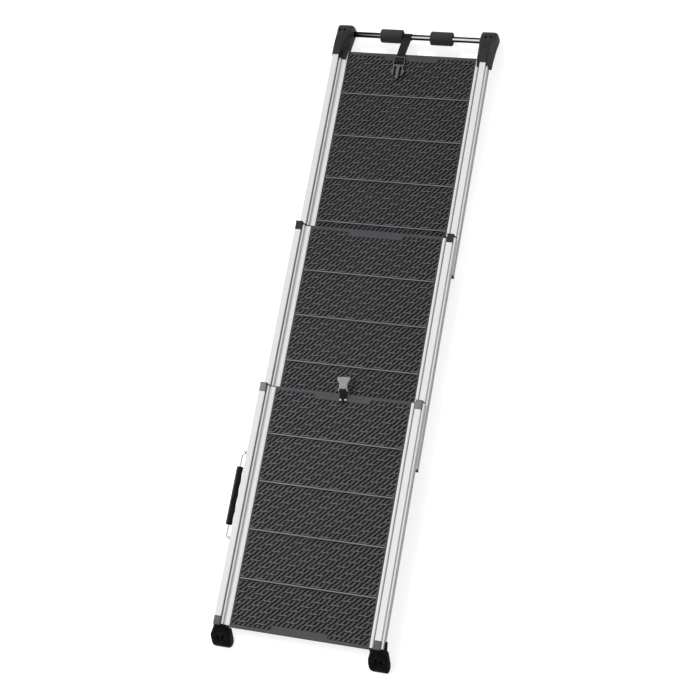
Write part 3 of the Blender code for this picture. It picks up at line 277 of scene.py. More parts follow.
class Nodes:
    """Small helper that places shader nodes in a tree."""

    def __init__(self, tree: bpy.types.NodeTree) -> None:
        """Keep the tree."""
        self.tree = tree

    @property
    def surface(self) -> bpy.types.NodeInputs:
        """Inputs of a material's surface shader."""
        return self.tree.nodes["Principled BSDF"].inputs

    def add(self, kind: str, **inputs: object) -> bpy.types.Node:
        """Place a node and fill its sockets or set its properties by name."""
        node = self.tree.nodes.new(kind)
        for key, value in inputs.items():
            label = key.replace("_", " ")
            if label in node.inputs:
                self.link(value, node.inputs[label])
            else:
                setattr(node, key, value)
        return node

    def link(self, value: object, to: Socket) -> None:
        """Join a socket to another, or write a plain value into it."""
        if isinstance(value, Socket):
            self.tree.links.new(value, to)
        else:
            to.default_value = (*value, 1.0) if to.type == "RGBA" else value

    def math(self, operation: str, a: object, b: object = 0.0,
             clamp: bool = False) -> Socket:
        """Return the result of a Math node on two numbers or sockets."""
        node = self.add("ShaderNodeMath", operation=operation, use_clamp=clamp)
        self.link(a, node.inputs[0])
        self.link(b, node.inputs[1])
        return node.outputs[0]

    def mix(self, factor: Socket, a: object, b: object) -> Socket:
        """Return a colour mixed between two colours or sockets."""
        node = self.add("ShaderNodeMix", data_type="RGBA")
        for value, slot in ((factor, 0), (a, 6), (b, 7)):
            self.link(value, node.inputs[slot])
        return node.outputs[2]

    def noise(self, vector: object, scale: object, detail: float,
              roughness: float) -> Socket:
        """Return the value of a noise texture."""
        return self.add("ShaderNodeTexNoise", Vector=vector, Scale=scale, Detail=detail,
                        Roughness=roughness).outputs[0]

    def fade(self, value: Socket, start: float, end: float, low: float,
             high: float) -> Socket:
        """Return a soft step: `low` where the value is `start`, `high` where it is `end`."""
        return self.add("ShaderNodeMapRange", interpolation_type="SMOOTHSTEP", Value=value,
                        From_Min=start, From_Max=end, To_Min=low, To_Max=high).outputs[0]

    def spot(self, kind: str = "Object") -> Socket:
        """Return a texture coordinate."""
        return self.add("ShaderNodeTexCoord").outputs[kind]

    def split(self, vector: Socket) -> list[Socket]:
        """Return the X, Y and Z of a vector."""
        return list(self.add("ShaderNodeSeparateXYZ", Vector=vector).outputs)

    def group(self, tree: bpy.types.NodeTree, vector: Socket,
              **inputs: float) -> dict[str, Socket]:
        """Place a shared group on a vector and return its results by name."""
        node = self.add("ShaderNodeGroup", node_tree=tree, Vector=vector, **inputs)
        return {out.name: out for out in node.outputs}


class Effects:
    """Shader node groups that several finishes share."""

    def __init__(self) -> None:
        """Build the groups."""
        self.grain = self._grain()
        self.streaks = self._streaks()
        self.weave = self._weave()

    @staticmethod
    def _open(name: str, inputs: dict[str, float], outputs: Sequence[str]
              ) -> tuple[Nodes, dict[str, object], dict[str, object]]:
        """Start a group.

        Args:
            name: Name of the group.
            inputs: Float inputs, after a vector one, with their usual values.
            outputs: Float outputs.

        Returns:
            The node helper, the given sockets and the result sockets, by name.
        """
        group = bpy.data.node_groups.new(name, "ShaderNodeTree")
        group.interface.new_socket("Vector", in_out="INPUT", socket_type="NodeSocketVector")
        for label, value in inputs.items():
            group.interface.new_socket(label, in_out="INPUT",
                                       socket_type="NodeSocketFloat").default_value = value
        for label in outputs:
            group.interface.new_socket(label, in_out="OUTPUT", socket_type="NodeSocketFloat")
        nodes = Nodes(group)
        given = nodes.add("NodeGroupInput").outputs
        result = nodes.add("NodeGroupOutput").inputs
        return nodes, {s.name: s for s in given}, {s.name: s for s in result}

    def _grain(self) -> bpy.types.NodeTree:
        """Fine moulded grain with broad uneven patches."""
        nodes, given, result = self._open(
            "moulded grain", {"Scale": 900.0, "Patch Scale": 14.0}, ("Height", "Patches"))
        vector = given["Vector"]
        nodes.link(nodes.noise(vector, given["Scale"], 3.0, 0.6), result["Height"])
        nodes.link(nodes.noise(vector, given["Patch Scale"], 4.0, 0.55), result["Patches"])
        return nodes.tree

    def _streaks(self) -> bpy.types.NodeTree:
        """Long fine die lines that run up the ramp, with faint handling marks."""
        nodes, given, result = self._open(
            "drawn metal", {"Lines": 1.0, "Marks": 60.0}, ("Height", "Lines", "Marks"))
        vector = given["Vector"]
        stretch = nodes.add("ShaderNodeMapping", Vector=vector, Scale=(1400.0, 3.0, 1400.0))
        lines = nodes.noise(stretch.outputs[0], 1.0, 2.0, 0.5)
        nodes.link(nodes.math("MULTIPLY", lines, given["Lines"]), result["Height"])
        nodes.link(lines, result["Lines"])
        nodes.link(nodes.noise(vector, given["Marks"], 5.0, 0.65), result["Marks"])
        return nodes.tree

    def _weave(self) -> bpy.types.NodeTree:
        """Ribbed webbing, crossing yarns and a firmer edge, on a band's own map in millimetres."""
        nodes, given, result = self._open(
            "webbing weave", {"Rib": 1.6, "Pick": 0.9, "Width": 25.0}, ("Height", "Shade", "Edge"))
        x, y, _ = nodes.split(given["Vector"])

        def wave(turns: Socket) -> Socket:
            """Return a row of humps, one for each unit."""
            sine = nodes.math("SINE", nodes.math("MULTIPLY", turns, math.pi))
            return nodes.math("ABSOLUTE", sine)

        across = nodes.math("DIVIDE", x, given["Rib"])
        along = nodes.math("DIVIDE", y, given["Pick"])
        shift = nodes.math("MULTIPLY", nodes.math("FLOOR", across), 0.5)
        pick = nodes.math("MULTIPLY", wave(nodes.math("ADD", along, shift)), 0.6)
        height = nodes.math("MULTIPLY", wave(across), nodes.math("ADD", pick, 0.4))
        fuzz = nodes.noise(given["Vector"], 1.3, 4.0, 0.7)
        half = nodes.math("MULTIPLY", given["Width"], 0.5)
        border = nodes.math("DIVIDE", nodes.math("ABSOLUTE", nodes.math("SUBTRACT", x, half)), half)
        nodes.link(height, result["Height"])
        nodes.link(nodes.math("MULTIPLY", height, fuzz), result["Shade"])
        nodes.link(nodes.math("GREATER_THAN", border, 0.88), result["Edge"])
        return nodes.tree


@dataclass(frozen=True)
class Finish:
    """A surface finish that makes its own material.

    Args:
        name: Material name.
        colour: Linear base colour.
        roughness: Middle roughness.
    """

    name: str
    colour: tuple[float, float, float]
    roughness: float

    def dress(self, effects: Effects) -> bpy.types.Material:
        """Return the finished material."""
        mat = bpy.data.materials.new(self.name)
        mat.use_nodes = True
        nodes = Nodes(mat.node_tree)
        nodes.link(self.colour, nodes.surface["Base Color"])
        nodes.link(self.roughness, nodes.surface["Roughness"])
        self.work(nodes, effects)
        return mat

    def work(self, nodes: Nodes, effects: Effects) -> None:
        """Add the nodes of this finish; each kind of finish has its own."""
        raise NotImplementedError

    def shaded(self, amount: float) -> tuple[float, float, float]:
        """Return the base colour made lighter or darker."""
        return tuple(min(1.0, c * amount) for c in self.colour)

    def blend(self, nodes: Nodes, factor: Socket, low: float, high: float) -> None:
        """Mix the base colour between two shades of itself."""
        mixed = nodes.mix(factor, self.shaded(low), self.shaded(high))
        nodes.link(mixed, nodes.surface["Base Color"])

    def tint(self, nodes: Nodes, where: Socket, tone: float) -> None:
        """Paint a lighter or darker tone, standing in for light or shade, over what already feeds
        the base colour.
        """
        plain = nodes.surface["Base Color"].links[0].from_socket
        nodes.link(nodes.mix(where, plain, self.shaded(tone)), nodes.surface["Base Color"])

    @staticmethod
    def bump(nodes: Nodes, height: Socket, strength: float, distance: float) -> None:
        """Feed a height to the surface's normal."""
        bump = nodes.add("ShaderNodeBump", Strength=strength, Distance=distance, Height=height)
        nodes.link(bump.outputs[0], nodes.surface["Normal"])


@dataclass(frozen=True)
class DrawnMetal(Finish):
    """Bare or anodised metal with die lines along the ramp."""

    streak: float = 0.12
    line_scale: float = 1.0

    def work(self, nodes: Nodes, effects: Effects) -> None:
        """Streak the roughness and the colour."""
        nodes.link(1.0, nodes.surface["Metallic"])
        effect = nodes.group(effects.streaks, nodes.spot(), Lines=self.line_scale)
        half = self.streak / 2.0
        lines = nodes.math("MULTIPLY", effect["Lines"], self.streak)
        marks = nodes.math("MULTIPLY", effect["Marks"], self.streak)
        rough = nodes.math("ADD", nodes.math("ADD", lines, self.roughness - half),
                           nodes.math("SUBTRACT", marks, half))
        nodes.link(rough, nodes.surface["Roughness"])
        self.blend(nodes, effect["Lines"], 0.95, 1.04)
        self.bump(nodes, effect["Height"], 0.15, 0.0001)


@dataclass(frozen=True)
class RailMetal(DrawnMetal):
    """Drawn metal with painted shade on the neck, under the bar's head.

    Args:
        crest: Height of the section's tread.
        neck_x: Distance of the neck's middle from the centre plane.
        neck_z: Height of the neck's middle over the crest.
        neck_half: Half height of the neck.
        fade: Height over which the painted shade fades out.
        reach: How far from the neck's middle the painted shade counts.
        inner: Share of the colour that stays under the painted shade on the inner side of the left
            neck.
        outer: Share that stays under the painted shade on the outer side of the right neck.
    """

    crest: float = 0.0
    neck_x: float = 214.8
    neck_z: float = 19.6
    neck_half: float = 6.4
    fade: float = 1.6
    reach: float = 8.0
    inner: float = 0.30
    outer: float = 0.55

    def work(self, nodes: Nodes, effects: Effects) -> None:
        """Paint shade on the sides of the necks that look to the right."""
        super().work(nodes, effects)
        x, _, z = nodes.split(nodes.spot())
        level = ORIGIN.z + (self.crest + self.neck_z) * MM
        off = nodes.math("ABSOLUTE", nodes.math("SUBTRACT", z, level))
        above = nodes.math("SUBTRACT", off, self.neck_half * MM)
        faded = nodes.math("MULTIPLY", above, 1.0 / (self.fade * MM), True)
        inside = nodes.math("SUBTRACT", 1.0, faded)
        across = nodes.math("SUBTRACT", x, ORIGIN.x)
        away = nodes.math("SUBTRACT", nodes.math("ABSOLUTE", across), self.neck_x * MM)
        near = nodes.math("LESS_THAN", nodes.math("ABSOLUTE", away), self.reach * MM)
        neck = nodes.math("MULTIPLY", nodes.math("SIGN", across), self.neck_x * MM)
        looks_right = nodes.math("GREATER_THAN", nodes.math("SUBTRACT", across, neck), 0.0)
        on_right = nodes.math("GREATER_THAN", across, 0.0)
        depth = nodes.math("ADD", nodes.math("MULTIPLY", on_right, self.inner - self.outer),
                           1.0 - self.inner)
        # painted shade: the neck's colour is darkened where the bar's head would shade it
        dark = nodes.math("MULTIPLY", nodes.math("MULTIPLY", inside, near),
                          nodes.math("MULTIPLY", depth, looks_right))
        self.tint(nodes, dark, 0.0)


@dataclass(frozen=True)
class DarkTube(DrawnMetal):
    """Bright metal tube whose colour falls to black on the flanks, turned from the eye: painted
    shade that leaves a painted highlight line facing the eye.
    """

    painted_flank_shade: float = 0.03

    def work(self, nodes: Nodes, effects: Effects) -> None:
        """Paint shade on what turns away from the eye."""
        super().work(nodes, effects)
        facing = nodes.add("ShaderNodeLayerWeight", Blend=0.5).outputs["Facing"]
        # painted shade and highlight: colour goes black where the surface turns from the eye
        self.tint(nodes, nodes.fade(facing, 0.02, 0.13, 0.0, 1.0), self.painted_flank_shade)


@dataclass(frozen=True)
class Moulded(Finish):
    """Moulded plastic or rubber with a fine grain."""

    grain_scale: float = 900.0
    grain_depth: float = 0.25
    patchy: float = 0.12
    sheen: float = 0.0
    coat: float = 0.0
    specular: float = 0.5

    def work(self, nodes: Nodes, effects: Effects) -> None:
        """Grain the surface and make colour and roughness a little uneven."""
        nodes.link(self.sheen, nodes.surface["Sheen Weight"])
        nodes.link(self.coat, nodes.surface["Coat Weight"])
        nodes.link(self.specular, nodes.surface["Specular IOR Level"])
        effect = nodes.group(effects.grain, nodes.spot(), Scale=self.grain_scale,
                             Patch_Scale=18.0)
        self.blend(nodes, effect["Patches"], 0.8, 1.2)
        rough = nodes.math("MULTIPLY", effect["Patches"], self.patchy)
        rough = nodes.math("ADD", rough, self.roughness - self.patchy / 2.0)
        nodes.link(rough, nodes.surface["Roughness"])
        self.bump(nodes, effect["Height"], self.grain_depth, 0.0002)


@dataclass(frozen=True)
class TreadPlastic(Moulded):
    """Moulded plastic with painted shade in the sunken fields between the raised bars."""

    crest: float = 0.0
    sunk: float = 1.2
    floor_half: float = 0.35
    painted_floor_shade: float = 0.02

    def work(self, nodes: Nodes, effects: Effects) -> None:
        """Paint shade into the sunken fields."""
        super().work(nodes, effects)
        level = ORIGIN.z + (self.crest - self.sunk) * MM
        off = nodes.math("SUBTRACT", nodes.split(nodes.spot())[2], level)
        sunk = nodes.math("LESS_THAN", nodes.math("ABSOLUTE", off), self.floor_half * MM)
        # painted shade: the sunken fields are darkened where the grooves would be in shade
        self.tint(nodes, sunk, self.painted_floor_shade)


@dataclass(frozen=True)
class RaisedPlastic(Moulded):
    """Moulded plastic of the raised pattern, with painted shade on the walls and a painted
    highlight on the ridge tops.
    """

    crest: float = 0.0
    wall_below: float = 0.35
    ridge_above: float = 0.2
    painted_wall_shade: float = 0.15
    ridge_tone: float = 1.75

    def work(self, nodes: Nodes, effects: Effects) -> None:
        """Paint a highlight on the ridge tops and shade on the walls."""
        super().work(nodes, effects)
        z = nodes.split(nodes.spot())[2]
        ridge_z = ORIGIN.z + (self.crest + self.ridge_above) * MM
        wall_z = ORIGIN.z + (self.crest - self.wall_below) * MM
        # painted highlight on the ridge tops, then painted shade on the bar walls
        self.tint(nodes, nodes.math("GREATER_THAN", z, ridge_z), self.ridge_tone)
        self.tint(nodes, nodes.math("LESS_THAN", z, wall_z), self.painted_wall_shade)


@dataclass(frozen=True)
class Woven(Finish):
    """Webbing woven in ribs, read from the band's own UV map in millimetres."""

    width: float = 25.0

    def work(self, nodes: Nodes, effects: Effects) -> None:
        """Weave the surface."""
        nodes.link(0.25, nodes.surface["Sheen Weight"])
        nodes.link(0.25, nodes.surface["Specular IOR Level"])
        own_map = nodes.add("ShaderNodeUVMap", uv_map="band").outputs[0]
        effect = nodes.group(effects.weave, own_map, Width=self.width)
        self.blend(nodes, effect["Shade"], 0.45, 1.5)
        rough = nodes.math("MULTIPLY", effect["Edge"], -0.15)
        nodes.link(nodes.math("ADD", rough, self.roughness), nodes.surface["Roughness"])
        self.bump(nodes, effect["Height"], 0.8, 0.0004)


class Palette:
    """All finishes of the ramp, made once."""

    FINISHES = {
        # painted highlight: the ribs are the tread's own plastic, made lighter to stand in for
        # light on their tops
        "rib": Moulded("tread rib", (0.200, 0.192, 0.205), 0.45, grain_scale=800.0,
                       grain_depth=0.2, patchy=0.1, specular=0.3),
        "cap": Moulded("end cap plastic", (0.030, 0.028, 0.032), 0.42, grain_scale=1100.0,
                       grain_depth=0.2, specular=0.25),
        "pale_cap": Moulded("pale cap plastic", (0.180, 0.175, 0.184), 0.40,
                            grain_scale=1100.0, grain_depth=0.2),
        "bar_cap": Moulded("bar cap plastic", (0.085, 0.085, 0.090), 0.40,
                           grain_scale=1100.0, grain_depth=0.2),
        "foot": Moulded("foot rubber", (0.002, 0.0018, 0.0023), 0.50, grain_scale=800.0,
                        grain_depth=0.35, specular=0.10),
        # bright metal colour; the tube's black flanks and bright middle line are painted shade and
        # highlight
        "tube": DarkTube("black bright tube", (0.80, 0.80, 0.82), 0.12, streak=0.04,
                         line_scale=0.2),
        "sleeve": Moulded("foam sleeve", (0.046, 0.043, 0.048), 0.82, grain_scale=1600.0,
                          grain_depth=0.7, patchy=0.1, sheen=0.1, specular=0.25),
        "strap": Woven("strap webbing", (0.010, 0.0075, 0.0105), 0.85, 25.0),
        "tab": Woven("tab webbing", (0.010, 0.008, 0.0105), 0.85, 19.4),
        "plug": Moulded("buckle plug", (0.062, 0.062, 0.065), 0.22, grain_scale=1300.0,
                        grain_depth=0.1, patchy=0.1, coat=0.35, specular=1.0),
        "socket": Moulded("buckle socket", (0.25, 0.25, 0.26), 0.40, grain_scale=1300.0,
                          grain_depth=0.15, patchy=0.1),
        "rivet": DrawnMetal("polished rivet", (0.86, 0.86, 0.87), 0.16, streak=0.04,
                            line_scale=0.3),
        "bracket": DrawnMetal("handle strip", (0.80, 0.80, 0.79), 0.30, streak=0.10),
        "grip": Moulded("handle grip", (0.006, 0.005, 0.006), 0.48, grain_depth=0.3,
                        specular=0.3),
    }

    def __init__(self) -> None:
        """Make every material."""
        effects = Effects()
        finishes = dict(self.FINISHES)
        for section in Section:
            label, crest = section.label, section.crest
            finishes[f"{label}_emboss"] = RaisedPlastic(
                f"{label} tread embossing", (0.077, 0.073, 0.078), 0.6, grain_scale=800.0,
                grain_depth=0.3, patchy=0.16, specular=0.06, crest=crest)
            finishes[f"{label}_rail"] = RailMetal(
                f"{label} anodised rail", (0.89, 0.89, 0.885), 0.34, crest=crest)
            finishes[f"{label}_tread"] = TreadPlastic(
                f"{label} moulded tread", (0.080, 0.076, 0.082), 0.6, grain_scale=700.0,
                grain_depth=0.3, patchy=0.16, specular=0.04, crest=crest)
        self.materials = {key: finish.dress(effects) for key, finish in finishes.items()}

    def paint(self, obj: Obj, key: str) -> None:
        """Give an object one finish all over."""
        obj.data.materials.clear()
        obj.data.materials.append(self.materials[key])

    def repaint(self, node: str, key: str) -> None:
        """Give a solid that stays in view a better finish in each of its slots."""
        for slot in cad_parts[node].material_slots:
            slot.material = self.materials[key]
        log.info("%s: the solid shows, in %s", node, self.materials[key].name)


@dataclass
class Piece:
    """Shared way in which a sub-assembly hands over its pieces."""

    palette: Palette

    def deliver(self, obj: Obj, body: str, finish: str, slot: str,
                *nodes: str) -> Obj:
        """Dress a piece, put it on its body and let it stand for its nodes.

        Args:
            obj: Finished mesh object.
            body: Body that it rides on.
            finish: Key of its finish.
            slot: Material slot; not used.
            nodes: Nodes that it replaces.

        Returns:
            The piece.
        """
        self.palette.paint(obj, finish)
        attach(obj, body)
        if nodes:
            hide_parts(*nodes)
        log.info("%s: %d faces on %s", obj.name, len(obj.data.polygons), body)
        return obj

    def recast_to(self, node: str, body: str, finish: str, slot: str, width: float,
                  segments: int = 2) -> None:
        """Deliver a rounded copy of a solid."""
        self.deliver(recast(node, width, segments), body, finish, slot, node)


@dataclass
class Emboss(Piece):
    """Raised slanting bars, level ridges and cross ribs on one tread.

    Args:
        section: Section that carries the tread.
        period: Distance between ridges along a row.
        row_pitch: Height of a row.
        row_shift: Sideways step from one row to the next.
        groove: Width of the grooves across the ramp.
        lean: Sideways run of a bar for each millimetre up the ramp.
        rib_room: Half width that is kept free for a cross rib.
        lip: Plain edge at the tread's ends.
        depth: How far the fields between the bars are sunk below the crest.
        root: How far the raised shapes go into the floor of the fields.
        bar_start: Middle of the first groove in a repeat.
        cut_low: Height in the row at which the bars under its ridge start.
        cut_high: How far short of the row's end the bars under the next ridge stop.
        seam: Half the gap between the bars of two rows.
        ridge: Start and end of the ridge across, then up the ramp.
        first_ridge: Left end and distance below the upper rib of a panel's first ridge.
        spare: Least distance at which the rows start outside the field, to be trimmed.
        margin: Gap between the pattern and a plain edge.
    """

    section: Section = Section.BOTTOM
    half_width: float = 184.5
    rib_room: float = 2.0
    rib_half: float = 1.7
    rib_rise: float = 0.8
    gap_above_rib: float = 0.5
    gap_below_rib: float = 2.4
    lip: float = 9.0
    tab_half: float = 76.0
    tab_depth: float = 21.0
    depth: float = 1.2
    root: float = 0.3
    period: float = 51.6
    row_pitch: float = 15.08
    row_shift: float = -24.3
    groove: float = 4.7
    lean: float = 0.815
    bars: int = 4
    bar_start: float = 2.6
    cut_low: float = 0.8
    cut_high: float = 0.6
    seam: float = 0.02
    ridge: tuple[float, float, float, float] = (0.2, 21.7, 0.8, 3.5)
    first_ridge: Point = (-107.0, 21.5)
    rows: int = 10
    spare: float = 40.0
    margin: float = 0.6

    @property
    def floor(self) -> float:
        """Height at which the raised shapes are rooted in the tread."""
        return self.section.crest - self.depth - self.root

    def raised(self, name: str, outline: Sequence[Point], top: float, round_off: float) -> Obj:
        """Model one raised shape of the tread with softened upper edges.

        Args:
            name: Object name.
            outline: (x, y) corners in order.
            top: Height over the crest.
            round_off: Width of the softened long edges.
        """
        high = self.section.crest + top
        obj = extruded(name, [place(x, y, self.floor) for x, y in outline],
                       Vector((0.0, 0.0, (high - self.floor) * MM)))
        (x0, y0), (x1, y1) = outline[1], outline[2]
        along = Vector((x1 - x0, y1 - y0, 0.0)).normalized()
        level = place(0.0, 0.0, high).z - HAIR
        with editing(obj):
            choose(obj, "EDGE", lambda c, d: c.z > level and abs(d.dot(along)) > 0.99)
            ops.bevel(offset=round_off * MM, segments=2, affect="EDGES")
        return obj

    def motif(self, left: float, low: float) -> Obj:
        """Model one repeat of a row: four slanting bars and the level ridge over their cut ends."""
        pitch = self.period / self.bars
        first = self.bar_start + self.groove / 2.0
        whole, cut = self.row_pitch - self.seam, self.row_pitch - self.cut_high
        spans = ((self.cut_low, whole), (self.cut_low, cut), (self.seam, cut), (self.seam, whole))
        pieces = []
        for k, (y0, y1) in enumerate(spans):
            x0 = left + first + k * pitch
            x1 = x0 + pitch - self.groove
            outline = [(x0 + y0 * self.lean, low + y0), (x1 + y0 * self.lean, low + y0),
                       (x1 + y1 * self.lean, low + y1), (x0 + y1 * self.lean, low + y1)]
            pieces.append(self.raised("bar", outline, 0.15, 0.6))
        x0, x1, y0, y1 = self.ridge
        outline = [(left + x, low + y) for x, y in ((x0, y1), (x0, y0), (x1, y0), (x1, y1))]
        pieces.append(self.raised("ridge", outline, 0.45, 0.7))
        return join("motif", pieces)

    def panel(self, index: int) -> Obj:
        """Repeat the motif over one panel and trim it to the panel's field."""
        rib = self.section.low_y + index * PANEL_PITCH
        x, down = self.first_ridge
        below = self.rows - 2
        start = x - below * self.row_shift
        start -= self.period * math.ceil((start + self.half_width + self.spare) / self.period)
        obj = self.motif(start, rib + PANEL_PITCH - down - below * self.row_pitch)
        for name, dx, dy, count in (
                ("across", self.period, 0.0, int(2.0 * self.half_width / self.period) + 4),
                ("up", self.row_shift, self.row_pitch, 2),
                ("pairs", 2.0 * self.row_shift + self.period, 2.0 * self.row_pitch,
                 self.rows // 2)):
            repeat = obj.modifiers.new(name, "ARRAY")
            repeat.use_relative_offset = False
            repeat.use_constant_offset = True
            repeat.constant_offset_displace = (dx * MM, dy * MM, 0.0)
            repeat.count = count
        apply_modifiers(obj)
        self.cut(obj, (0.0, rib + self.rib_room + self.gap_above_rib), (0.0, -1.0))
        high = rib + PANEL_PITCH - self.rib_room - self.gap_below_rib
        self.cut(obj, (0.0, high), (0.0, 1.0))
        for way in (-1.0, 1.0):
            self.cut(obj, (way * self.half_width, 0.0), (way, 0.0))
        for panel, edge, way in ((0, self.section.low_y, -1.0), (4, self.section.top_y, 1.0)):
            if index == panel:
                self.cut(obj, (0.0, edge - way * (self.lip + self.margin)), (0.0, way))
                self.clear_tab(obj, edge, edge - way * (self.tab_depth + self.margin))
        return obj

    @staticmethod
    def cut(obj: Obj, point: Point, normal: Point, trim: bool = True) -> None:
        """Cut along a vertical plane and, to trim, close it and drop what lies beyond."""
        with editing(obj):
            ops.select_mode(type="FACE")
            ops.select_all(action="SELECT")
            ops.bisect(plane_co=place(*point, 0.0), plane_no=(*normal, 0.0), use_fill=trim,
                       clear_outer=trim, threshold=HAIR)

    def clear_tab(self, obj: Obj, edge: float, end: float) -> None:
        """Cut the bars along a tab's outline and delete those on the tab."""
        half = self.tab_half + self.margin
        low, high = sorted((edge, end))
        for x in (-half, half):
            self.cut(obj, (x, 0.0), (1.0, 0.0), trim=False)
        for y in (low, high):
            self.cut(obj, (0.0, y), (0.0, 1.0), trim=False)
        a, b = place(-half, low, 0.0), place(half, high, 0.0)
        with editing(obj):
            choose(obj, "FACE", lambda c, n: a.x < c.x < b.x and a.y < c.y < b.y)
            ops.delete(type="FACE")

    def rib(self, y: float) -> Obj:
        """Model one rounded cross rib between two panels."""
        top = self.section.crest + self.rib_rise
        obj = block("rib", place(-self.half_width, y - self.rib_half, self.floor),
                    place(self.half_width, y + self.rib_half, top))
        level = place(0.0, 0.0, top).z - HAIR
        with editing(obj):
            choose(obj, "EDGE", lambda c, d: c.z > level and abs(d.x) > 0.9)
            ops.bevel(offset=1.1 * MM, segments=3, affect="EDGES")
        return obj

    def build(self) -> None:
        """Model the ribs as one piece and all panels as another."""
        label, body = self.section.label, self.section.body
        ribs = [self.rib(self.section.low_y + i * PANEL_PITCH) for i in range(1, 5)]
        for name, finish, pieces in (
                ("ribs", "rib", ribs),
                ("emboss", f"{label}_emboss", [self.panel(i) for i in range(5)])):
            obj = join(f"{label}_tread_{name}", pieces)
            smooth(obj, 30.0)
            self.deliver(obj, body, finish, "tread")


@dataclass
class TreadSet(Piece):
    """The three treads: the solids keep their shape and get their embossing."""

    def build(self) -> None:
        """Dress the treads and add the embossing."""
        for section in Section:
            self.palette.repaint(f"{section.label}_tread", f"{section.label}_tread")
            Emboss(self.palette, section=section).build()


@dataclass
class RailSet(Piece):
    """The six drawn rails and the moulded pieces at their ends."""

    def build(self) -> None:
        """Dress the rails and recast their caps and stops."""
        low, middle, top = Section
        for section in Section:
            for side in Side:
                self.palette.repaint(f"{section.label}_rail_{side.end}", f"{section.label}_rail")
        for side in Side:
            for section, name, finish, slot, width in (
                    (low, "rail_cap", "pale_cap", "bar_cap", 0.45),
                    (middle, "rail_cap", "cap", "bar_cap", 0.45),
                    (low, "bar_cap", "bar_cap", "bar_cap", 0.45),
                    (middle, "rail_stop", "cap", "end_cap", 0.6),
                    (top, "rail_stop", "cap", "end_cap", 0.6)):
                self.recast_to(f"{section.label}_{name}_{side.end}", section.body, finish, slot,
                               width)


@dataclass
class Feet(Piece):
    """Rubber feet."""

    def build(self) -> None:
        """Recast both feet with rounded edges."""
        for side in Side:
            self.recast_to(f"foot_{side.end}", Section.BOTTOM.body, "foot", "foot", 1.2, 3)


@dataclass
class HandlebarEnd(Piece):
    """End brackets, handlebar tube and foam sleeves."""

    half_len: float = 211.0
    sleeve_r: float = 19.5
    sleeve_len: float = 64.5
    sleeve_in: float = 41.2
    chamfer: float = 3.2
    play: float = 0.3
    sides: int = 72

    def build(self) -> None:
        """Make the brackets, tube and sleeves."""
        body = Section.TOP.body
        for side in Side:
            self.recast_to(f"handlebar_bracket_{side.end}", body, "cap", "end_cap", 1.0, 3)
            self.deliver(self.sleeve(side), body, "sleeve", "sleeve", f"sleeve_{side.end}")
        self.deliver(self.bar(), body, "tube", "tube", "handlebar")

    def round_stock(self, name: str, x: float, radius: float, length: float) -> Obj:
        """Add a cylinder on the handlebar's middle line."""
        release()
        ops.primitive_cylinder_add(vertices=self.sides, radius=radius * MM, depth=length * MM,
                                   location=place(x, BAR_Y, BAR_Z),
                                   rotation=(0.0, math.pi / 2.0, 0.0))
        obj = bpy.context.object
        obj.name = name
        bpy.ops.object.transform_apply(location=True, rotation=True, scale=True)
        return obj

    @staticmethod
    def choose_ends(obj: Obj) -> None:
        """Select the two flat ends of a cylinder."""
        choose(obj, "FACE", lambda c, n: abs(n.x) > 0.9)

    def bar(self) -> Obj:
        """Model the tube with softened ends."""
        obj = self.round_stock("handlebar_tube", 0.0, BAR_R, 2.0 * self.half_len)
        with editing(obj):
            self.choose_ends(obj)
            ops.inset(thickness=1.5 * MM)
            ops.extrude_region_move(TRANSFORM_OT_translate={"value": (0.0, 0.0, 0.0)})
        rounded(obj, 0.5, 2, 50.0)
        smooth(obj)
        return obj

    def sleeve(self, side: Side) -> Obj:
        """Model a sleeve: a drum with turned down ends round the tube."""
        middle = side.value * (self.sleeve_in + self.sleeve_len / 2.0)
        bore_r = BAR_R + self.play
        obj = self.round_stock(f"sleeve_{side.end}_foam", middle, self.sleeve_r, self.sleeve_len)
        with editing(obj):
            self.choose_ends(obj)
            ops.inset(thickness=(self.sleeve_r - BAR_R - self.play) * MM)
            ops.delete(type="FACE")
        centre = place(middle, BAR_Y, BAR_Z)
        rim = self.sleeve_len / 2.0 * MM - WELD
        with editing(obj):
            choose(obj, "EDGE", lambda c, d: abs(c.x - centre.x) > rim
                   and math.hypot(c.y - centre.y, c.z - centre.z) > (self.sleeve_r - 0.5) * MM)
            ops.bevel(offset=self.chamfer * MM, segments=4, affect="EDGES")
        bore = self.round_stock("bore", middle, bore_r, self.sleeve_len)
        with editing(bore):
            self.choose_ends(bore)
            ops.delete(type="ONLY_FACE")
            ops.select_all(action="SELECT")
            ops.flip_normals()
        obj = join(obj.name, [obj, bore])
        face_out(obj, 5.0 * WELD)
        smooth(obj, 50.0)
        return obj


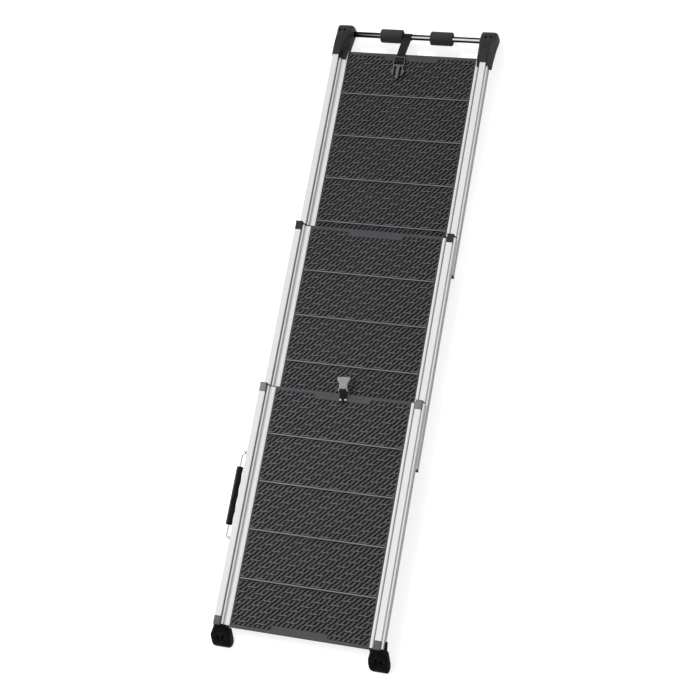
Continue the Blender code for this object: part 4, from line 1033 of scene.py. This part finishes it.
@dataclass
class Band(Piece):
    """A length of webbing laid along a line of points in a plane across the ramp.

    Args:
        name: Piece name.
        line: (y, z) points of the middle of the webbing, in ramp millimetres.
        middle_x: X of the band's middle.
        width: Width of the webbing.
        edge: Width of the firmer edge.
    """

    name: str = "band"
    line: Sequence[Point] = ()
    middle_x: float = 0.0
    width: float = 25.0
    edge: float = 1.6

    def length(self) -> float:
        """Length of webbing along the line."""
        return sum(math.dist(a, b) for a, b in zip(self.line, self.line[1:]))

    def model(self) -> Obj:
        """Pull an edge along the line, give the strip its own map, thickness and rolled edges."""
        release()
        ops.primitive_plane_add(size=1.0, location=(0.0, 0.0, 0.0))
        obj = bpy.context.object
        obj.name = self.name
        half = self.width / 2.0
        columns = [-half, -half + self.edge, -half / 3.0, half / 3.0, half - self.edge, half]
        with editing(obj):
            ops.select_all(action="SELECT")
            ops.delete(type="ONLY_FACE")
            mesh = bmesh.from_edit_mesh(obj.data)
            for edge in list(mesh.edges):
                mesh.edges.remove(edge)
            for vert in list(mesh.verts)[2:]:
                mesh.verts.remove(vert)
            ends = list(mesh.verts)
            for vert, x in zip(ends, (-half, half)):
                vert.co = place(self.middle_x + x, *self.line[0])
            mesh.edges.new(ends)
            bmesh.update_edit_mesh(obj.data)
            ops.select_all(action="SELECT")
            ops.subdivide(number_cuts=len(columns) - 2)
            mesh = bmesh.from_edit_mesh(obj.data)
            for vert, x in zip(sorted(mesh.verts, key=lambda v: v.co.x), columns):
                vert.co.x = place(self.middle_x + x, 0.0, 0.0).x
            bmesh.update_edit_mesh(obj.data)
            ops.select_mode(type="EDGE")
            ops.select_all(action="SELECT")
            for (y0, z0), (y1, z1) in zip(self.line, self.line[1:]):
                step = (0.0, (y1 - y0) * MM, (z1 - z0) * MM)
                ops.extrude_region_move(TRANSFORM_OT_translate={"value": step})
        self.lay_map(obj, len(columns))
        if self.line[0] == self.line[-1]:
            with editing(obj):
                ops.select_all(action="SELECT")
                ops.remove_doubles(threshold=WELD)
        wall = obj.modifiers.new("wall", "SOLIDIFY")
        wall.thickness = WEBBING * MM
        wall.offset = 0.0
        wall.use_even_offset = True
        soft = obj.modifiers.new("soft", "SUBSURF")
        soft.levels = soft.render_levels = 2
        apply_modifiers(obj)
        face_out(obj)
        smooth(obj, 60.0)
        return obj

    def lay_map(self, obj: Obj, count: int) -> None:
        """Write the band's own map: millimetres across and along.

        Args:
            obj: The strip, as rows of points along the line.
            count: Points in a row.
        """
        runs = [0.0]
        for a, b in zip(self.line, self.line[1:]):
            runs.append(runs[-1] + math.dist(a, b))
        mesh = obj.data
        for old in list(mesh.uv_layers):
            mesh.uv_layers.remove(old)
        layer = mesh.uv_layers.new(name="band")
        left = self.middle_x - self.width / 2.0
        spots = [((vert.co.x - ORIGIN.x) / MM - left, runs[min(index // count, len(runs) - 1)])
                 for index, vert in enumerate(mesh.vertices)]
        for loop in mesh.loops:
            layer.data[loop.index].uv = spots[loop.vertex_index]


def bow(cy: float, cz: float, radius: float, start: float, end: float, count: int) -> list[Point]:
    """Return points on an arc given in degrees."""
    turns = [math.radians(start + (end - start) * i / count) for i in range(count + 1)]
    return [(cy + radius * math.cos(t), cz + radius * math.sin(t)) for t in turns]


@dataclass
class StrapAndPlug(Piece):
    """Webbing loop round the handlebar with the buckle's plug.

    Args:
        middle_x: X of the strap at the handlebar.
        width: Width of the webbing.
        lead: Sideways run of the strap for each millimetre down the ramp.
        cross_y: Y of the plug's crossbar, round which the webbing turns.
        lift: Height of the webbing's middle over the crest.
        fold: Height from the lower layer to the upper one.
    """

    middle_x: float = -27.0
    width: float = 25.0
    lead: float = 0.07
    cross_y: float = 1128.0
    lift: float = 1.3
    fold: float = 1.6

    def build(self) -> None:
        """Make the strap and the plug."""
        crest = Section.TOP.crest
        base = crest + self.lift
        edge = Section.TOP.top_y + 1.0
        line = bow(BAR_Y, BAR_Z, 9.2, 130.0, -203.0, 36)
        line += [(edge + 6.0, base - 0.6), (edge - 4.0, base), (edge - 14.0, base)]
        line += bow(self.cross_y, crest + 4.3, 2.8, -90.0, -290.0, 10)
        line += [(self.cross_y + 6.5, base + self.fold), (edge - 4.0, base + self.fold),
                 (edge + 6.0, base + 0.9)]
        band = Band(self.palette, "strap_webbing", line + line[:1], self.middle_x, self.width)
        obj = band.model()
        start = place(0.0, BAR_Y - 10.0, 0.0).y
        with editing(obj) as mesh:
            for vert in mesh.verts:
                vert.co.x -= max(0.0, start - vert.co.y) * self.lead
            bmesh.update_edit_mesh(obj.data)
        self.deliver(obj, "strap_loop", "strap", "webbing", "strap")
        self.recast_to("buckle_plug", "strap_loop", "plug", "plug", 0.7, 3)


@dataclass
class SocketAndTab(Piece):
    """Buckle socket with its riveted webbing tab."""

    middle_x: float = 3.0
    rivet_y: float = 113.0
    tilt: float = 6.0
    width: float = 19.4

    def build(self) -> None:
        """Make the tab and recast the socket and rivets."""
        line = [(105.5, 1.0), (114.0, 1.0), (126.0, 1.0), (137.2, 1.0), (138.4, 2.4), (138.4, 7.0),
                (138.4, 12.0), (137.4, 13.2), (134.6, 13.2), (133.2, 12.0), (130.4, 7.6),
                (126.6, 3.6), (121.0, 2.6), (113.0, 2.6), (105.5, 2.6)]
        band = Band(self.palette, "socket_tab", line, self.middle_x, self.width)
        obj = band.model()
        pivot = place(self.middle_x, self.rivet_y, 0.0)
        turn = Matrix.Translation(pivot) @ Matrix.Rotation(math.radians(self.tilt), 4, "Z")
        obj.data.transform(turn @ Matrix.Translation(-pivot))
        body = Section.BOTTOM.body
        self.deliver(obj, body, "tab", "webbing", "socket_webbing")
        self.recast_to("buckle_socket", body, "socket", "socket", 0.7, 3)
        for side in Side:
            self.recast_to(f"socket_rivet_{side.end}", body, "rivet", "rivet", 0.25)


@dataclass
class CarryHandle(Piece):
    """Strip on the left rail with its swinging bail and grip."""

    def build(self) -> None:
        """Recast the handle's pieces."""
        body = Section.BOTTOM.body
        self.recast_to("handle_bracket", body, "bracket", "bracket", 0.5)
        for end in ("upper", "lower"):
            self.recast_to(f"handle_screw_{end}", body, "rivet", "rivet", 0.25)
        self.recast_to("carry_grip", "carry_handle", "grip", "grip", 0.8, 3)
        self.palette.repaint("carry_bail", "bracket")


@dataclass
class Studio:
    """Camera, floor, world and lamps.

    Args:
        focal_px: Focal length of the photograph in pixels.
        frame_px: Width of the photograph in pixels.
        sensor: Width of the camera's sensor in millimetres.
        rows: Place and turn of the camera.
        foot: Lowest points of the feet, in metres at the centre plane.
        head: Lowest points of the end brackets, in metres at the centre plane.
        drop: How far the floor lies under those points, in metres.
        glow: Brightness of the floor to the camera.
        plain: Brightness of the world to all but camera and reflections.
    """

    focal_px: float = 1637.18
    frame_px: float = 700.0
    sensor: float = 36.0
    rows: tuple[tuple[float, ...], ...] = (
        (0.9554, -0.1030, 0.2768, 1.2171), (0.1757, 0.9515, -0.2523, -1.1872),
        (-0.2374, 0.2897, 0.9272, 4.1554), (0.0, 0.0, 0.0, 1.0))
    foot: tuple[float, float, float] = (0.0, -0.893, 0.047)
    head: tuple[float, float, float] = (0.0, 0.876, 0.0)
    drop: float = 0.0006
    glow: float = 0.80
    plain: float = 0.3

    @staticmethod
    def stand(data: bpy.types.ID) -> Obj:
        """Add a camera or a lamp to the scene."""
        obj = bpy.data.objects.new(data.name, data)
        bpy.context.scene.collection.objects.link(obj)
        return obj

    def camera(self) -> None:
        """Put the camera where the photograph was taken from."""
        data = bpy.data.cameras.new("camera")
        data.sensor_width = self.sensor
        data.lens = self.focal_px * self.sensor / self.frame_px
        data.clip_end = 60.0
        cam = self.stand(data)
        matrix = Matrix(self.rows)
        turn = matrix.to_3x3().to_quaternion().normalized()
        cam.matrix_world = Matrix.Translation(matrix.translation) @ turn.to_matrix().to_4x4()
        bpy.context.scene.camera = cam

    def white(self) -> bpy.types.Material:
        """Return a floor finish: near white to the camera, dimmer in reflections."""
        mat = bpy.data.materials.new("floor")
        mat.use_nodes = True
        nodes = Nodes(mat.node_tree)
        for label, value in (("Base Color", (0.55, 0.55, 0.55)), ("Roughness", 0.9),
                             ("Specular IOR Level", 0.1), ("Emission Color", (1.0, 1.0, 1.0))):
            nodes.link(value, nodes.surface[label])
        path = nodes.add("ShaderNodeLightPath").outputs
        across = nodes.fade(nodes.split(nodes.spot())[0], -0.5, 0.5, 0.28, 0.14)
        seen = nodes.math("MULTIPLY", path["Is Camera Ray"], self.glow)
        bounce = nodes.math("MULTIPLY", path["Is Glossy Ray"], across)
        nodes.link(nodes.math("ADD", seen, bounce), nodes.surface["Emission Strength"])
        return mat

    def floor(self) -> None:
        """Lay the floor through the lowest points of the feet and of the end brackets."""
        foot, head = Vector(self.foot), Vector(self.head)
        slope = math.atan2(head.z - foot.z, head.y - foot.y)
        release()
        ops.primitive_plane_add(size=30.0, location=(0.0, 0.0, 0.0))
        obj = bpy.context.object
        obj.name = "floor"
        middle = (foot + head) / 2.0 - Vector((0.0, 0.0, self.drop))
        obj.data.transform(Matrix.Translation(middle) @ Matrix.Rotation(slope, 4, "X"))
        obj.data.materials.append(self.white())

    def world(self) -> None:
        """Light from all round: white to the camera, brighter above and right in reflections."""
        world = bpy.data.worlds.new("studio")
        bpy.context.scene.world = world
        world.use_nodes = True
        nodes = Nodes(world.node_tree)
        back = world.node_tree.nodes["Background"].inputs
        nodes.link((1.0, 1.0, 1.0), back["Color"])
        path = nodes.add("ShaderNodeLightPath").outputs
        x, _, z = nodes.split(nodes.spot("Generated"))
        height = nodes.fade(z, 0.4, 0.93, 0.10, 1.0)
        right = nodes.fade(x, 0.35, 0.95, 0.0, 0.55)
        glossy = path["Is Glossy Ray"]
        seen = nodes.math("MAXIMUM", path["Is Camera Ray"], path["Is Transmission Ray"])
        dome = nodes.math("MULTIPLY", glossy, nodes.math("ADD", height, right))
        plain = nodes.math("MULTIPLY", nodes.math("SUBTRACT", 1.0, glossy), self.plain)
        level = nodes.math("MAXIMUM", seen, nodes.math("ADD", dome, plain))
        nodes.link(level, back["Strength"])

    def lamp(self, name: str, location: Sequence[float], aim: Sequence[float], size: float,
             power: float) -> None:
        """Add one soft square lamp of a size in metres and a power in watts."""
        data = bpy.data.lights.new(name, "AREA")
        data.shape = "SQUARE"
        data.size = size
        data.energy = power
        obj = self.stand(data)
        direction = Vector(aim) - Vector(location)
        obj.matrix_world = (Matrix.Translation(location)
                            @ direction.to_track_quat("-Z", "Y").to_matrix().to_4x4())
        obj.visible_glossy = False

    def build(self) -> None:
        """Set up camera, floor, world and lamps."""
        self.camera()
        self.floor()
        self.world()
        self.lamp("key", (-3.4, 6.2, 5.4), (0.0, 0.0, 0.1), 1.4, 500.0)
        self.lamp("fill", (-0.4, -0.5, 1.5), (0.0, -0.8, 0.0), 0.6, 13.0)
        bpy.context.scene.view_settings.view_transform = "Standard"


def main() -> None:
    """Build every sub-assembly in order."""
    logging.basicConfig(level=logging.INFO, format="%(message)s")
    Studio().build()
    palette = Palette()
    for maker in (RailSet, TreadSet, Feet, HandlebarEnd, StrapAndPlug, SocketAndTab, CarryHandle):
        maker(palette).build()
        log.info("%s done", maker.__name__)
    release()


if __name__ == "__main__":
    main()
